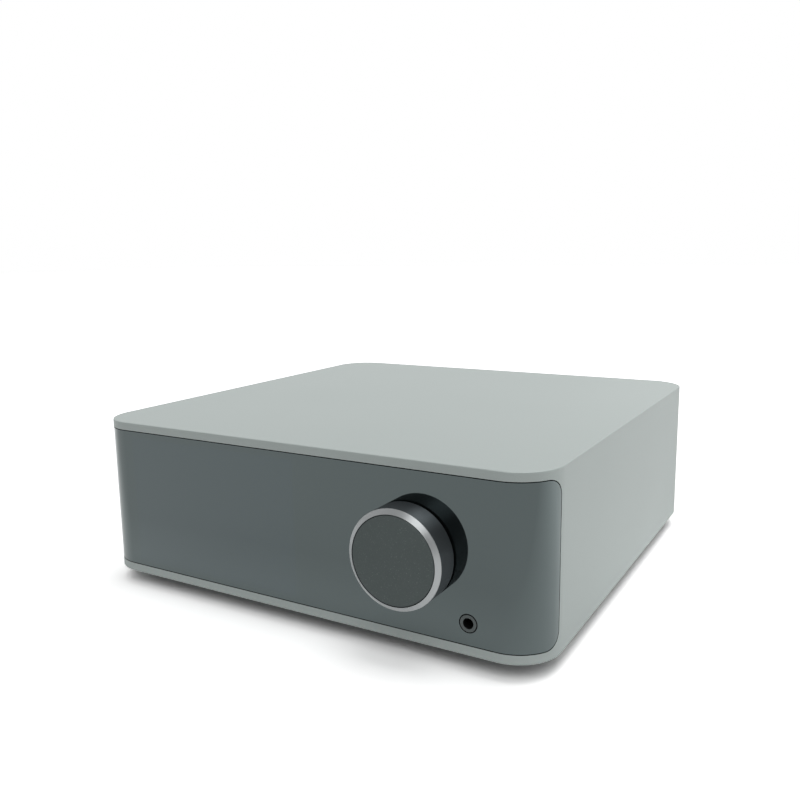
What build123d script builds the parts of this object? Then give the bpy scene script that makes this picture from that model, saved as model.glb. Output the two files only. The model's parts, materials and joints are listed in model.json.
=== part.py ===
from build123d import *
import os

os.makedirs("parts", exist_ok=True)

# Sizes are in millimetres. X runs to the right as seen from the front, Y to the back, Z up.
# The origin is on the table, under the centre of the square case.

# Case
body_width = 205.0
body_depth = 205.0
case_height = 66.0
ground_clearance = 7.0
corner_radius = 17.0
case_wall = 2.5
top_thickness = 3.3
front_lip_height = 3.4
edge_break = 0.4
overrun = 1.0
seat_gap = 0.2

# Front opening, glass and the tape behind it
opening_wrap = 14.6
opening_corner_radius = 6.4
glass_gap = 0.25
glass_thickness = 1.5
tape_thickness = 1.2
tape_inset = 17.5
tape_strip = 3.0
tape_edge = 1.4

# Front carrier, the moulding that holds the display, the encoder and the headphone jack
carrier_wall = 3.0
carrier_tab_depth = 3.0
carrier_tab_width = 5.3
carrier_screw_inset = 2.8
carrier_screw_end = 13.5
board_pillar_radius = 2.75
board_pillar_length = 7.8

# Rear opening and rear panel
rear_opening_inset = 18.5
rear_opening_bottom = 4.0
rear_opening_top_gap = 5.0
rear_opening_radius = 3.0
rear_panel_thickness = 2.0
rear_post_width = 12.0
rear_post_depth = 10.0
rear_post_overlap = 6.0
rear_screw_inset = 3.5

# Base plate, feet and the posts in the case that take the base screws
base_recess = 1.0
base_flange_thickness = 2.5
tray_inset = 14.0
tray_wall = 2.0
tray_floor = 2.0
tray_drop = 6.0
tray_corner_radius = 12.0
foot_radius = 11.0
foot_height = 3.0
foot_recess = 1.0
foot_inset = 34.5
foot_clearance = 0.15
foot_edge = 0.8
side_post_reach = 8.5
side_post_width = 12.0
side_post_low_height = 14.0
side_screw_inset = 4.5
front_post_inset = 36.5
middle_post_front = 2.0
back_post_inset = 34.5
vent_length = 34.0
vent_width = 3.0
vent_pitch = 7.0
vent_rows = 8
vent_column_x = 22.0
vent_margin = 0.75
main_vent_offset = 42.0

# Screws
small_screw_radius = 1.25
small_screw_length = 6.0
small_head_radius = 2.25
small_head_height = 1.6
base_screw_radius = 1.5
base_screw_length = 8.5
base_head_radius = 2.9
base_head_height = 1.65
base_head_angle = 82.0
screw_clearance = 0.05
head_clearance = 0.15
drive_radius = 0.9
drive_depth = 0.8
screw_point = 0.3

# Display
display_left_inset = 21.6
display_knob_gap = 49.6
display_bottom_on_case = 6.0
display_top_gap = 2.7
display_clearance = 0.3
bracket_thickness = 0.8
bracket_overlap = 3.2
bracket_rib = 1.2
flex_width = 14.0
flex_thickness = 0.25
flex_drop = 10.0
flex_lead = 2.6

# Knob
knob_inset = 49.8
knob_height_on_case = 33.3
knob_radius = 18.0
knob_proud = 11.26
knob_gap = 0.8
knob_bevel_depth = 1.26
knob_bevel_width = 1.79
knob_face_radius = 16.0
knob_face_thickness = 1.3
knob_face_clearance = 0.12
knob_web_thickness = 1.86
knob_wall = 2.4
knob_back_break = 0.3
hub_spigot_radius = 6.1
hub_flange_radius = 15.4
hub_flange_thickness = 1.6
hub_boss_radius = 5.5
hub_back_gap = 0.7
hub_clearance = 0.1

# Rotary encoder with push switch
encoder_size = 13.0
encoder_front_wall = 2.0
encoder_back_wall = 1.4
encoder_cavity_radius = 5.6
bushing_radius = 4.5
bushing_length = 7.5
bushing_bore_clearance = 0.05
shaft_radius = 3.0
shaft_flat = 1.0
shaft_flat_end_gap = 0.5
shaft_back_flat_lead = 0.6
shaft_front_gap = 0.1
shaft_back_length = 2.3
nut_across_flats = 11.0
nut_thickness = 2.2
nut_glass_clearance = 0.9
rotor_radius = 5.4
rotor_thickness = 1.8
rotor_front_gap = 0.2
rotor_clearance = 0.05
plunger_radius = 2.6
plunger_thickness = 0.95
plunger_gap = 0.05
dome_height = 0.95
dome_foot_radius = 2.8
dome_top_radius = 1.2
dome_sheet = 0.15

# Headphone jack
jack_inset = 27.0
jack_height_on_case = 11.55
jack_bore_radius = 1.8
jack_bore_length = 14.2
jack_body_size = 8.0
jack_nose_radius = 3.3
jack_end_wall = 1.6
jack_clearance = 0.2
collar_radius = 3.15
collar_proud = 0.1
collar_glass_gap = 0.2
collar_break = 0.25

# Boards
board_thickness = 1.6
board_top = 16.0
front_board_knob_gap = 44.7
front_board_inset = 14.5
front_board_bottom_gap = 2.5
front_board_top_gap = 2.7
front_board_screw_inset = 4.0
jack_screw_gap = 8.25
main_board_inset = 25.0
main_board_depth = 98.5
main_board_rear_gap = 3.5
power_board_inset = 24.5
power_board_cable_gap = 14.0
power_board_front_gap = 9.4
board_spacing = 6.0
standoff_radius = 2.75
standoff_seat = 0.6
board_screw_inset = 5.0
main_board_rear_screw_inset = 15.5

# Phono sockets, four blocks of two
rca_block_count = 4
rca_gap = 2.15
rca_pitch = 14.0
rca_block_width = 12.0
rca_block_depth = 14.0
rca_block_height = 30.0
rca_low_height = 8.5
rca_barrel_radius = 4.15
rca_barrel_wall = 0.75
rca_neck_radius = 3.95
rca_barrel_length = 9.2
rca_barrel_seat = 2.0
barrel_break = 0.3
rca_panel_clearance = 0.15
rca_ring_inset = 1.2
rca_ring_clearance = 0.03
rca_contact_radius = 1.95
rca_contact_bore = 1.6
rca_contact_inset = 0.4
rca_contact_wall = 1.0

# Optical sockets with spring shutters
optical_gap = 2.55
optical_pitch = 11.5
optical_width = 9.7
optical_height = 11.5
optical_depth = 13.5
optical_front_wall = 1.0
optical_window = 8.2
optical_window_bottom = 1.2
optical_chamber_width = 8.4
optical_chamber_depth = 11.0
optical_chamber_height = 9.7
optical_chamber_bottom = 1.0
shutter_width = 8.0
shutter_thickness = 1.0
shutter_pivot_height = 9.9
shutter_pivot_radius = 0.6
shutter_pivot_length = 9.5
shutter_pivot_clearance = 0.04
shutter_front_gap = 0.1
shutter_bottom_gap = 0.15
panel_window_margin = 0.2

# Video, storage and network sockets
hdmi_gap = 2.2
hdmi_width = 15.2
hdmi_height = 6.0
hdmi_depth = 12.4
hdmi_corner = 2.2
usb_gap = 2.3
usb_width = 13.4
usb_height = 6.0
usb_depth = 15.4
socket_sheet = 0.5
socket_proud = 0.4
socket_back_wall = 2.0
tongue_thickness = 1.8
tongue_margin = 1.2
tongue_setback = 1.0
tongue_raise = 0.3
network_gap = 0.4
network_width = 16.0
network_height = 13.4
network_depth = 20.9
network_plug_width = 11.8
network_plug_height = 6.8
network_plug_bottom = 4.4
network_plug_depth = 14.0
network_latch_width = 6.4
network_latch_height = 2.6

# Trigger jack, power button and ground terminal
trigger_gap = 0.3
trigger_body = 6.8
trigger_nose_radius = 3.0
trigger_nose_length = 1.6
button_inset = 10.5
button_height = 4.2
button_radius = 3.4
button_flange_radius = 4.0
button_flange_thickness = 1.2
button_proud = 1.5
button_stem_radius = 1.4
button_stem_length = 4.2
button_clearance = 0.2
button_edge = 0.4
switch_width = 6.0
switch_height = 7.2
switch_gap = 2.7
switch_depth = 6.0
switch_bore_clearance = 0.15
switch_bore_depth = 2.7
spring_wire = 0.3
spring_turns = 4
spring_radius = 2.1
spring_end_gap = 0.02
ground_inset = 10.0
ground_height = 17.0
stud_radius = 2.0
stud_proud = 11.2
stud_head_radius = 3.4
stud_head_thickness = 3.0
stud_point = 0.5
washer_radius = 4.2
washer_thickness = 0.8
thumb_nut_radius = 5.0
thumb_nut_length = 5.0
thumb_nut_flute_count = 20
thumb_nut_flute_radius = 0.35
thumb_nut_break = 0.5
thumb_nut_clearance = 0.05

# Mains inlet
inlet_inset = 24.0
inlet_height_on_case = 41.0
inlet_flange_width = 25.0
inlet_flange_height = 15.0
inlet_flange_thickness = 1.6
inlet_flange_radius = 2.0
inlet_body_width = 19.6
inlet_body_height = 11.6
inlet_body_depth = 16.0
inlet_cavity_radius = 4.3
inlet_cavity_centres = 6.4
inlet_cavity_waist = 3.7
inlet_cavity_depth = 11.0
inlet_clip_depth = 1.4
inlet_clip_proud = 0.9
inlet_pin_radius = 1.175
inlet_pin_pitch = 8.6
inlet_pin_setback = 2.0
pin_break = 0.5
inlet_tab_length = 5.0
lead_radius = 1.1
lead_bend = 9.0
lead_board_inset = 8.0
lead_terminal_height = 8.0
lead_terminal_width = 14.0
lead_terminal_depth = 8.0

# Parts on the boards
transformer_can_gap = 36.0
power_parts_shift = 3.0
transformer_core_width = 28.0
transformer_core_depth = 24.0
transformer_core_height = 22.0
transformer_core_leg = 4.0
transformer_centre_leg = 8.0
transformer_core_yoke = 5.0
transformer_coil_clearance = 0.3
transformer_coil_bulge = 5.0
transformer_coil_radius = 3.0
big_can_radius = 6.25
big_can_height = 26.0
small_can_radius = 4.0
small_can_height = 12.0
can_vent_depth = 0.3
big_can_inset = 18.0
big_can_pitch = 16.0
small_can_count = 6
small_can_gap = 12.0
small_can_pitch = 12.0
small_can_place = 50.0
heatsink_inset = 37.5
heatsink_place = 38.0
heatsink_width = 40.0
heatsink_depth = 36.0
heatsink_base = 3.0
heatsink_height = 16.0
heatsink_fin_count = 9
heatsink_fin = 1.2
processor_height = 1.4
processor_size = 16.0
radio_inset = 21.5
radio_place = 16.0
radio_width = 26.0
radio_depth = 20.0
radio_height = 3.0
radio_edge = 0.4
antenna_width = 8.0
antenna_length = 36.0
antenna_thickness = 0.8
antenna_setback = 6.5
antenna_height_on_case = 33.0
antenna_lead_radius = 0.6
antenna_lead_bend = 4.0
antenna_lead_inset = 12.8
rear_antenna_inset = 36.0
rear_antenna_drop = 11.0
rear_antenna_lead_shift = 6.0
rear_antenna_lead_gap = 24.0
cable_inset = 58.5
cable_width = 16.0
cable_thickness = 0.3
cable_bend = 8.0
cable_run = 24.0
cable_height_on_case = 26.0
connector_width = 20.0
connector_depth = 5.0
connector_height = 4.0
connector_setback = 0.5
converter_gap = 32.0
converter_place = 68.0
chip_height = 1.2
chip_size = 10.0
small_chip_size = 6.0

# Levels and planes worked out from the sizes
case_bottom = ground_clearance
case_top = case_bottom + case_height
cavity_top = case_top - top_thickness
front_face = -body_depth / 2
rear_face = body_depth / 2
side_face = body_width / 2
inner_side = side_face - case_wall
inner_rear = rear_face - case_wall
inner_radius = corner_radius - case_wall
lip_top = case_bottom + front_lip_height
opening_back = front_face + opening_wrap
glass_back = front_face + glass_thickness
carrier_front = glass_back + tape_thickness
carrier_back = carrier_front + carrier_wall
carrier_inset = glass_thickness + tape_thickness
carrier_end = front_face + front_post_inset
front_board_face = carrier_back + board_pillar_length
front_board_back = front_board_face + board_thickness
flange_bottom = case_bottom + base_recess
flange_top = flange_bottom + base_flange_thickness
tray_bottom = flange_bottom - tray_drop
tray_top = tray_bottom + tray_floor
carrier_bottom = flange_top
carrier_top = cavity_top - seat_gap
board_bottom = board_top - board_thickness
standoff_height = board_bottom - tray_top
knob_x = side_face - knob_inset
knob_z = case_bottom + knob_height_on_case
knob_front = front_face - knob_proud
knob_back = front_face - knob_gap
face_back = knob_front + knob_face_thickness
web_back = face_back + knob_web_thickness
jack_x = side_face - jack_inset
jack_z = case_bottom + jack_height_on_case
panel_back = inner_rear
panel_face = panel_back + rear_panel_thickness
panel_bottom = case_bottom + rear_opening_bottom
panel_top = case_top - rear_opening_top_gap
panel_side = side_face - rear_opening_inset
rear_opening_width = 2 * panel_side
post_side = panel_side - rear_post_overlap
rear_screw_x = panel_side - rear_screw_inset
rear_screw_z = (panel_bottom + rear_screw_inset, panel_top - rear_screw_inset)
side_screw_x = inner_side - side_screw_inset
post_fronts = (carrier_end, middle_post_front, rear_face - back_post_inset)
wing_inner = side_face - carrier_inset - carrier_wall
carrier_screw_x = wing_inner - carrier_screw_inset
carrier_screw_z = (carrier_bottom + carrier_screw_end, carrier_top - carrier_screw_end)
encoder_cavity_front = carrier_back + encoder_front_wall
encoder_cavity_back = front_board_face - encoder_back_wall
bushing_front = carrier_back - bushing_length
hub_back = bushing_front - hub_back_gap
shaft_front = face_back + 2 * shaft_front_gap
shaft_back = encoder_cavity_front + shaft_back_length
rotor_front = encoder_cavity_front + rotor_front_gap
rca_z = (board_top + rca_low_height, board_top + rca_low_height + rca_pitch)
optical_window_z = board_top + optical_window_bottom + optical_window / 2
pivot_z = board_top + shutter_pivot_height
pivot_y = panel_back - optical_front_wall - shutter_front_gap - shutter_thickness / 2
hdmi_z = board_top + hdmi_height / 2
usb_z = board_top + usb_height / 2
trigger_z = board_top + trigger_body / 2
button_z = board_top + button_height
flange_back = panel_back - seat_gap - button_flange_thickness
ground_z = board_top + ground_height
tape_side = side_face - tape_inset
foot_x = side_face - foot_inset
foot_y = rear_face - foot_inset

# Display, between the left corner and the knob
display_left = display_left_inset - side_face
display_right = knob_x - display_knob_gap
display_width = display_right - display_left
display_x = (display_left + display_right) / 2
display_bottom = case_bottom + display_bottom_on_case
display_top = cavity_top - display_top_gap
display_height = display_top - display_bottom
display_z = (display_bottom + display_top) / 2
flex_bottom = display_z - flex_drop

# Boards: the main board is held off the rear panel, and the power board takes the room before it
front_board_left = knob_x - front_board_knob_gap
front_board_right = side_face - front_board_inset
front_board_bottom = flange_top + front_board_bottom_gap
front_board_top = cavity_top - front_board_top_gap
main_board_side = side_face - main_board_inset
main_board_back = panel_back - main_board_rear_gap
main_board_front = main_board_back - main_board_depth
main_board_rear_screws = main_board_back - main_board_rear_screw_inset
cable_x = side_face - cable_inset
cable_high_z = case_bottom + cable_height_on_case
power_board_left = power_board_inset - side_face
power_board_right = cable_x - power_board_cable_gap
power_board_front = front_board_back + power_board_front_gap
power_board_back = main_board_front - board_spacing

# Row of sockets on the rear, each set beside the last from the power button on
button_x = button_inset - panel_side
trigger_x = button_x + button_flange_radius + trigger_gap + trigger_body / 2
network_x = trigger_x + trigger_body / 2 + network_gap + network_width / 2
usb_x = network_x + network_width / 2 + usb_gap + usb_width / 2
hdmi_x = usb_x + usb_width / 2 + hdmi_gap + hdmi_width / 2
optical_out_x = hdmi_x + hdmi_width / 2 + optical_gap + optical_width / 2
optical_x = (optical_out_x + optical_pitch, optical_out_x)
rca_last_x = optical_x[0] + optical_width / 2 + rca_gap + rca_block_width / 2
rca_x = [rca_last_x + rca_pitch * i for i in reversed(range(rca_block_count))]
ground_x = panel_side - ground_inset
inlet_x = inlet_inset - panel_side
inlet_z = case_bottom + inlet_height_on_case

# Places of the larger parts on the boards
power_parts_y = (power_board_front + power_board_back) / 2 - power_parts_shift
big_can_x = power_board_right - big_can_inset
transformer_x = big_can_x - transformer_can_gap
transformer_y = power_parts_y
lead_board_y = power_board_back - lead_board_inset
heatsink_x = heatsink_inset - main_board_side
heatsink_y = main_board_front + heatsink_place
small_can_x = heatsink_x + heatsink_width / 2 + small_can_gap
small_can_y = main_board_front + small_can_place
radio_x = main_board_side - radio_inset
radio_y = main_board_front + radio_place
converter_x = radio_x - converter_gap
converter_y = main_board_front + converter_place
antenna_back = carrier_end - antenna_setback
antenna_z = case_bottom + antenna_height_on_case
antenna_lead_x = wing_inner - antenna_lead_inset
rear_antenna_x = panel_side - rear_antenna_inset
rear_antenna_z = panel_top - rear_antenna_drop
rear_antenna_lead_x = radio_x + rear_antenna_lead_shift
rear_antenna_lead_y = panel_back - rear_antenna_lead_gap


def box_between(x, y, z, mode=Mode.ADD):
    """Block between two limits along each axis."""
    with BuildSketch(Plane.XY.offset(z[0])) as outline:
        with Locations((x[0], y[0])):
            Rectangle(x[1] - x[0], y[1] - y[0], align=(Align.MIN, Align.MIN))
    extrude(outline.sketch, amount=z[1] - z[0], mode=mode)


def rod_along_y(x, z, front, back, radius, mode=Mode.ADD):
    """Round bar or hole along Y between two depths."""
    with BuildSketch(Plane.XZ.offset(-back)) as outline:
        with Locations((x, z)):
            Circle(radius)
    extrude(outline.sketch, amount=back - front, mode=mode)


def plate_along_y(x, z, width, height, front, back, corner=0, mode=Mode.ADD):
    """Plate or window that faces along Y, centred on x and z, with round corners if asked."""
    with BuildSketch(Plane.XZ.offset(-back)) as outline:
        with Locations((x, z)):
            if corner:
                RectangleRounded(width, height, corner)
            else:
                Rectangle(width, height)
    extrude(outline.sketch, amount=back - front, mode=mode)


def rounded_slab(side_inset, radius, bottom, top, mode=Mode.ADD):
    """Slab that follows the case's outline, set in from it."""
    with BuildSketch(Plane.XY.offset(bottom)) as outline:
        RectangleRounded(body_width - 2 * side_inset, body_depth - 2 * side_inset, radius)
    extrude(outline.sketch, amount=top - bottom, mode=mode)


def side_profile(front, back, bottom, top, corner, mode):
    """Block across the width, square at the front and round at its back corners in side view."""
    with BuildSketch(Plane.YZ) as profile:
        with Locations((front, bottom)):
            Rectangle(back - front, top - bottom, align=(Align.MIN, Align.MIN))
        fillet(profile.vertices().group_by(Axis.X)[-1], corner)
    extrude(profile.sketch, amount=side_face + overrun, both=True, mode=mode)


# Case shell: top and four walls, open at the front, at the back and below
with BuildPart() as case_shell:
    rounded_slab(0, corner_radius, case_bottom, case_top)
    chamfer(case_shell.faces().sort_by(Axis.Z)[-1].edges(), edge_break)
    rounded_slab(case_wall, inner_radius, case_bottom, cavity_top, Mode.SUBTRACT)
    side_profile(
        front_face - overrun, opening_back, lip_top, cavity_top, opening_corner_radius, Mode.SUBTRACT
    )
    # the posts behind the rear opening, and the screw posts on the side walls
    for side in (-1, 1):
        post_x = sorted((side * post_side, side * (post_side + rear_post_width)))
        post_y = (inner_rear - rear_post_depth, inner_rear)
        box_between(post_x, post_y, (panel_bottom + overrun, cavity_top + overrun))
        reach_x = sorted((side * (inner_side - side_post_reach), side * (inner_side + overrun)))
        for post_front in post_fronts:
            height = cavity_top if post_front == carrier_end else flange_top + side_post_low_height
            post_y = (post_front, post_front + side_post_width)
            box_between(reach_x, post_y, (flange_top, height))
    plate_along_y(
        0, (panel_bottom + panel_top) / 2, rear_opening_width, panel_top - panel_bottom,
        inner_rear, rear_face + overrun, rear_opening_radius, Mode.SUBTRACT,
    )
    # threaded holes, drawn at their core size
    for side in (-1, 1):
        for z in rear_screw_z:
            rod_along_y(
                side * rear_screw_x, z, panel_back - small_screw_length, panel_back,
                small_screw_radius + screw_clearance, Mode.SUBTRACT,
            )
        for z in carrier_screw_z:
            rod_along_y(
                side * carrier_screw_x, z, carrier_end, carrier_end + small_screw_length,
                small_screw_radius + screw_clearance, Mode.SUBTRACT,
            )
    with BuildSketch(Plane.XY.offset(flange_top)):
        for post_front in post_fronts:
            with Locations(
                (side_screw_x, post_front + side_post_width / 2),
                (-side_screw_x, post_front + side_post_width / 2),
            ):
                Circle(base_screw_radius + screw_clearance)
    extrude(amount=base_screw_length, mode=Mode.SUBTRACT)
case_shell.part.label = "case_shell"
export_step(case_shell.part, "parts/case_shell.step")

# Front glass: flat front that wraps both corners and ends on the side walls
with BuildPart() as front_glass:
    rounded_slab(0, corner_radius, lip_top, cavity_top)
    rounded_slab(
        glass_thickness, corner_radius - glass_thickness, lip_top, cavity_top, Mode.SUBTRACT
    )
    side_profile(
        front_face - overrun, opening_back - glass_gap, lip_top + glass_gap, cavity_top - glass_gap,
        opening_corner_radius - glass_gap, Mode.INTERSECT,
    )
    rod_along_y(
        knob_x, knob_z, front_face - overrun, glass_back + overrun,
        nut_across_flats / 2 + 2 * nut_glass_clearance, Mode.SUBTRACT,
    )
    rod_along_y(
        jack_x, jack_z, front_face - overrun, glass_back + overrun,
        collar_radius + collar_glass_gap, Mode.SUBTRACT,
    )
front_glass.part.label = "front_glass"
export_step(front_glass.part, "parts/front_glass.step")

# Tape that bonds the glass to the carrier, with a window for the display and one beside it
tape_bottom = carrier_bottom + tape_edge
tape_top = carrier_top - tape_edge
display_window_width = display_width + 2 * display_clearance
display_window_height = display_height + 2 * display_clearance
right_window_left = display_x + display_window_width / 2 + tape_strip
right_window_right = tape_side - tape_strip
with BuildPart() as glass_tape:
    plate_along_y(
        0, (tape_bottom + tape_top) / 2, 2 * tape_side, tape_top - tape_bottom, glass_back, carrier_front
    )
    plate_along_y(
        display_x, display_z, display_window_width, display_window_height,
        glass_back - overrun, carrier_front + overrun, 0, Mode.SUBTRACT,
    )
    plate_along_y(
        (right_window_left + right_window_right) / 2, display_z,
        right_window_right - right_window_left, display_window_height - 2 * tape_edge,
        glass_back - overrun, carrier_front + overrun, 0, Mode.SUBTRACT,
    )
glass_tape.part.label = "glass_tape"
export_step(glass_tape.part, "parts/glass_tape.step")

# Front carrier: front plate with wings behind the side walls and a screw tab on each wing
pillar_places = (
    (front_board_left + front_board_screw_inset, front_board_bottom + front_board_screw_inset),
    (front_board_left + front_board_screw_inset, front_board_top - front_board_screw_inset),
    (front_board_right - front_board_screw_inset, front_board_top - front_board_screw_inset),
    (front_board_right - front_board_screw_inset, jack_z + jack_screw_gap),
)
with BuildPart() as front_carrier:
    rounded_slab(carrier_inset, corner_radius - carrier_inset, carrier_bottom, carrier_top)
    rounded_slab(
        carrier_inset + carrier_wall, corner_radius - carrier_inset - carrier_wall,
        carrier_bottom, carrier_top, Mode.SUBTRACT,
    )
    box_between(
        (-side_face, side_face), (front_face, carrier_end), (carrier_bottom, carrier_top), Mode.INTERSECT
    )
    for side in (-1, 1):
        tab_x = sorted((side * (wing_inner - carrier_tab_width), side * wing_inner))
        box_between(tab_x, (carrier_end - carrier_tab_depth, carrier_end), (carrier_bottom, carrier_top))
        for z in carrier_screw_z:
            rod_along_y(
                side * carrier_screw_x, z, carrier_end - carrier_tab_depth, carrier_end,
                small_screw_radius + screw_clearance, Mode.SUBTRACT,
            )
    plate_along_y(
        display_x, display_z, display_window_width, display_window_height,
        carrier_front, carrier_back, 0, Mode.SUBTRACT,
    )
    rod_along_y(
        knob_x, knob_z, carrier_front, carrier_back, bushing_radius + screw_clearance, Mode.SUBTRACT
    )
    rod_along_y(
        jack_x, jack_z, carrier_front, carrier_back, jack_nose_radius + jack_clearance, Mode.SUBTRACT
    )
    for x, z in pillar_places:
        rod_along_y(x, z, carrier_back, front_board_face, board_pillar_radius)
        rod_along_y(
            x, z, front_board_back - small_screw_length, front_board_face,
            small_screw_radius + screw_clearance, Mode.SUBTRACT,
        )
front_carrier.part.label = "front_carrier"
export_step(front_carrier.part, "parts/front_carrier.step")

# Display panel, bonded to the back of the glass
with BuildPart() as display_panel:
    plate_along_y(display_x, display_z, display_width, display_height, glass_back, carrier_back)
display_panel.part.label = "display_panel"
export_step(display_panel.part, "parts/display_panel.step")

# Bracket behind the display, a pressed sheet with a slot for the display's flexible circuit
bracket_right = display_x + display_window_width / 2 + bracket_overlap
bracket_left = display_x - display_window_width / 2 - bracket_overlap
flex_slot_left = display_x + display_width / 2 - flex_width
with BuildPart() as display_bracket:
    plate_along_y(
        (bracket_left + bracket_right) / 2, display_z, bracket_right - bracket_left,
        display_window_height, carrier_back, carrier_back + bracket_thickness,
    )
    for rib_z in (display_z - display_height / 4, display_z + display_height / 4):
        plate_along_y(
            display_x - flex_width / 2, rib_z, display_width - 2 * flex_width, bracket_rib,
            carrier_back + bracket_thickness, carrier_back + bracket_thickness + bracket_rib,
        )
    plate_along_y(
        flex_slot_left + flex_width / 4, flex_bottom + flex_width / 2, flex_width / 2,
        flex_width + 2 * display_clearance, carrier_back, carrier_back + bracket_thickness,
        0, Mode.SUBTRACT,
    )
display_bracket.part.label = "display_bracket"
export_step(display_bracket.part, "parts/display_bracket.step")

# Flexible circuit from the display to the front board
flex_end_x = front_board_left + connector_depth
with BuildPart() as display_flex:
    with BuildSketch(Plane.XY.offset(flex_bottom)):
        with BuildLine() as flex_path:
            FilletPolyline(
                (flex_slot_left + flex_thickness, carrier_back + flex_thickness / 2),
                (flex_slot_left + 2 * connector_height, carrier_back + flex_lead),
                (front_board_left - connector_height, front_board_face - connector_height / 2),
                (flex_end_x, front_board_face - flex_thickness / 2),
                radius=connector_height,
            )
        trace(flex_path.line, line_width=flex_thickness)
    extrude(amount=flex_width)
display_flex.part.label = "display_flex"
export_step(display_flex.part, "parts/display_flex.step")

# Front board, with a notch round the headphone jack
jack_back = front_face - collar_proud + jack_bore_length + jack_end_wall
with BuildPart() as front_board:
    plate_along_y(
        (front_board_left + front_board_right) / 2, (front_board_bottom + front_board_top) / 2,
        front_board_right - front_board_left, front_board_top - front_board_bottom,
        front_board_face, front_board_back,
    )
    notch = jack_body_size / 2 + jack_clearance
    box_between(
        (jack_x - notch, jack_x + notch), (front_board_face, front_board_back),
        (front_board_bottom, jack_z + notch), Mode.SUBTRACT,
    )
    for x, z in pillar_places:
        rod_along_y(
            x, z, front_board_face, front_board_back, small_screw_radius + screw_clearance, Mode.SUBTRACT
        )
front_board.part.label = "front_board"
export_step(front_board.part, "parts/front_board.step")

# Encoder housing, a closed can with the rotor's chamber inside
with BuildPart() as encoder_housing:
    plate_along_y(knob_x, knob_z, encoder_size, encoder_size, carrier_back, front_board_face)
    rod_along_y(
        knob_x, knob_z, encoder_cavity_front, encoder_cavity_back, encoder_cavity_radius, Mode.SUBTRACT
    )
    rod_along_y(
        knob_x, knob_z, carrier_back, encoder_cavity_front,
        shaft_radius + bushing_bore_clearance, Mode.SUBTRACT,
    )
encoder_housing.part.label = "encoder_housing"
export_step(encoder_housing.part, "parts/encoder_housing.step")

# Threaded bushing that guides the shaft
with BuildPart() as encoder_bushing:
    rod_along_y(knob_x, knob_z, bushing_front, carrier_back, bushing_radius)
    chamfer(encoder_bushing.faces().sort_by(Axis.Y)[0].edges(), edge_break)
    rod_along_y(
        knob_x, knob_z, bushing_front, carrier_back, shaft_radius + bushing_bore_clearance, Mode.SUBTRACT
    )
encoder_bushing.part.label = "encoder_bushing"
export_step(encoder_bushing.part, "parts/encoder_bushing.step")

# Hexagon nut that clamps the bushing to the carrier
with BuildPart() as encoder_nut:
    with BuildSketch(Plane.XZ.offset(-carrier_front)):
        with Locations((knob_x, knob_z)):
            RegularPolygon(nut_across_flats / 2, 6, major_radius=False)
            Circle(bushing_radius + screw_clearance, mode=Mode.SUBTRACT)
    extrude(amount=nut_thickness)
encoder_nut.part.label = "encoder_nut"
export_step(encoder_nut.part, "parts/encoder_nut.step")

# Shaft: round in the bushing, with a flat for the knob at the front and one for the rotor behind
with BuildPart() as encoder_shaft:
    rod_along_y(knob_x, knob_z, shaft_front, shaft_back, shaft_radius)
    flat_z = (knob_z + shaft_radius - shaft_flat, knob_z + shaft_radius + overrun)
    flat_x = (knob_x - shaft_radius, knob_x + shaft_radius)
    box_between(flat_x, (shaft_front, bushing_front - shaft_flat_end_gap), flat_z, Mode.SUBTRACT)
    box_between(flat_x, (rotor_front - shaft_back_flat_lead, shaft_back), flat_z, Mode.SUBTRACT)
encoder_shaft.part.label = "encoder_shaft"
export_step(encoder_shaft.part, "parts/encoder_shaft.step")

# Rotor that the shaft turns and slides through
with BuildPart() as encoder_rotor:
    with BuildSketch(Plane.XZ.offset(-(rotor_front + rotor_thickness))):
        with Locations((knob_x, knob_z)):
            Circle(rotor_radius)
        with BuildSketch(mode=Mode.PRIVATE) as shaft_hole:
            with Locations((knob_x, knob_z)):
                Circle(shaft_radius + rotor_clearance)
            hole_flat = shaft_radius - shaft_flat + rotor_clearance
            with Locations((knob_x, knob_z + hole_flat)):
                Rectangle(
                    2 * shaft_radius + overrun, shaft_radius, align=(Align.CENTER, Align.MIN),
                    mode=Mode.SUBTRACT,
                )
        add(shaft_hole.sketch_local, mode=Mode.SUBTRACT)
    extrude(amount=rotor_thickness)
encoder_rotor.part.label = "encoder_rotor"
export_step(encoder_rotor.part, "parts/encoder_rotor.step")

# Plunger between the shaft's end and the switch dome
plunger_front = shaft_back + plunger_gap
with BuildPart() as push_plunger:
    rod_along_y(knob_x, knob_z, plunger_front, plunger_front + plunger_thickness, plunger_radius)
push_plunger.part.label = "push_plunger"
export_step(push_plunger.part, "parts/push_plunger.step")

# Snap dome of the push switch, a pressed steel cap
knob_axis = Axis((knob_x, 0, knob_z), (0, 1, 0))
knob_section = Plane(origin=(knob_x, 0, knob_z), x_dir=(1, 0, 0), z_dir=(0, 0, 1))
with BuildPart() as switch_dome:
    with BuildSketch(knob_section):
        with BuildLine():
            Polyline(
                (0, encoder_cavity_back - dome_height),
                (dome_top_radius, encoder_cavity_back - dome_height),
                (dome_foot_radius, encoder_cavity_back - dome_sheet),
                (dome_foot_radius + dome_sheet, encoder_cavity_back - dome_sheet),
                (dome_foot_radius + dome_sheet, encoder_cavity_back),
                (dome_foot_radius - dome_sheet, encoder_cavity_back),
                (dome_top_radius, encoder_cavity_back - dome_height + dome_sheet),
                (0, encoder_cavity_back - dome_height + dome_sheet),
                close=True,
            )
        make_face()
    revolve(axis=knob_axis)
switch_dome.part.label = "switch_dome"
export_step(switch_dome.part, "parts/switch_dome.step")

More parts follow.
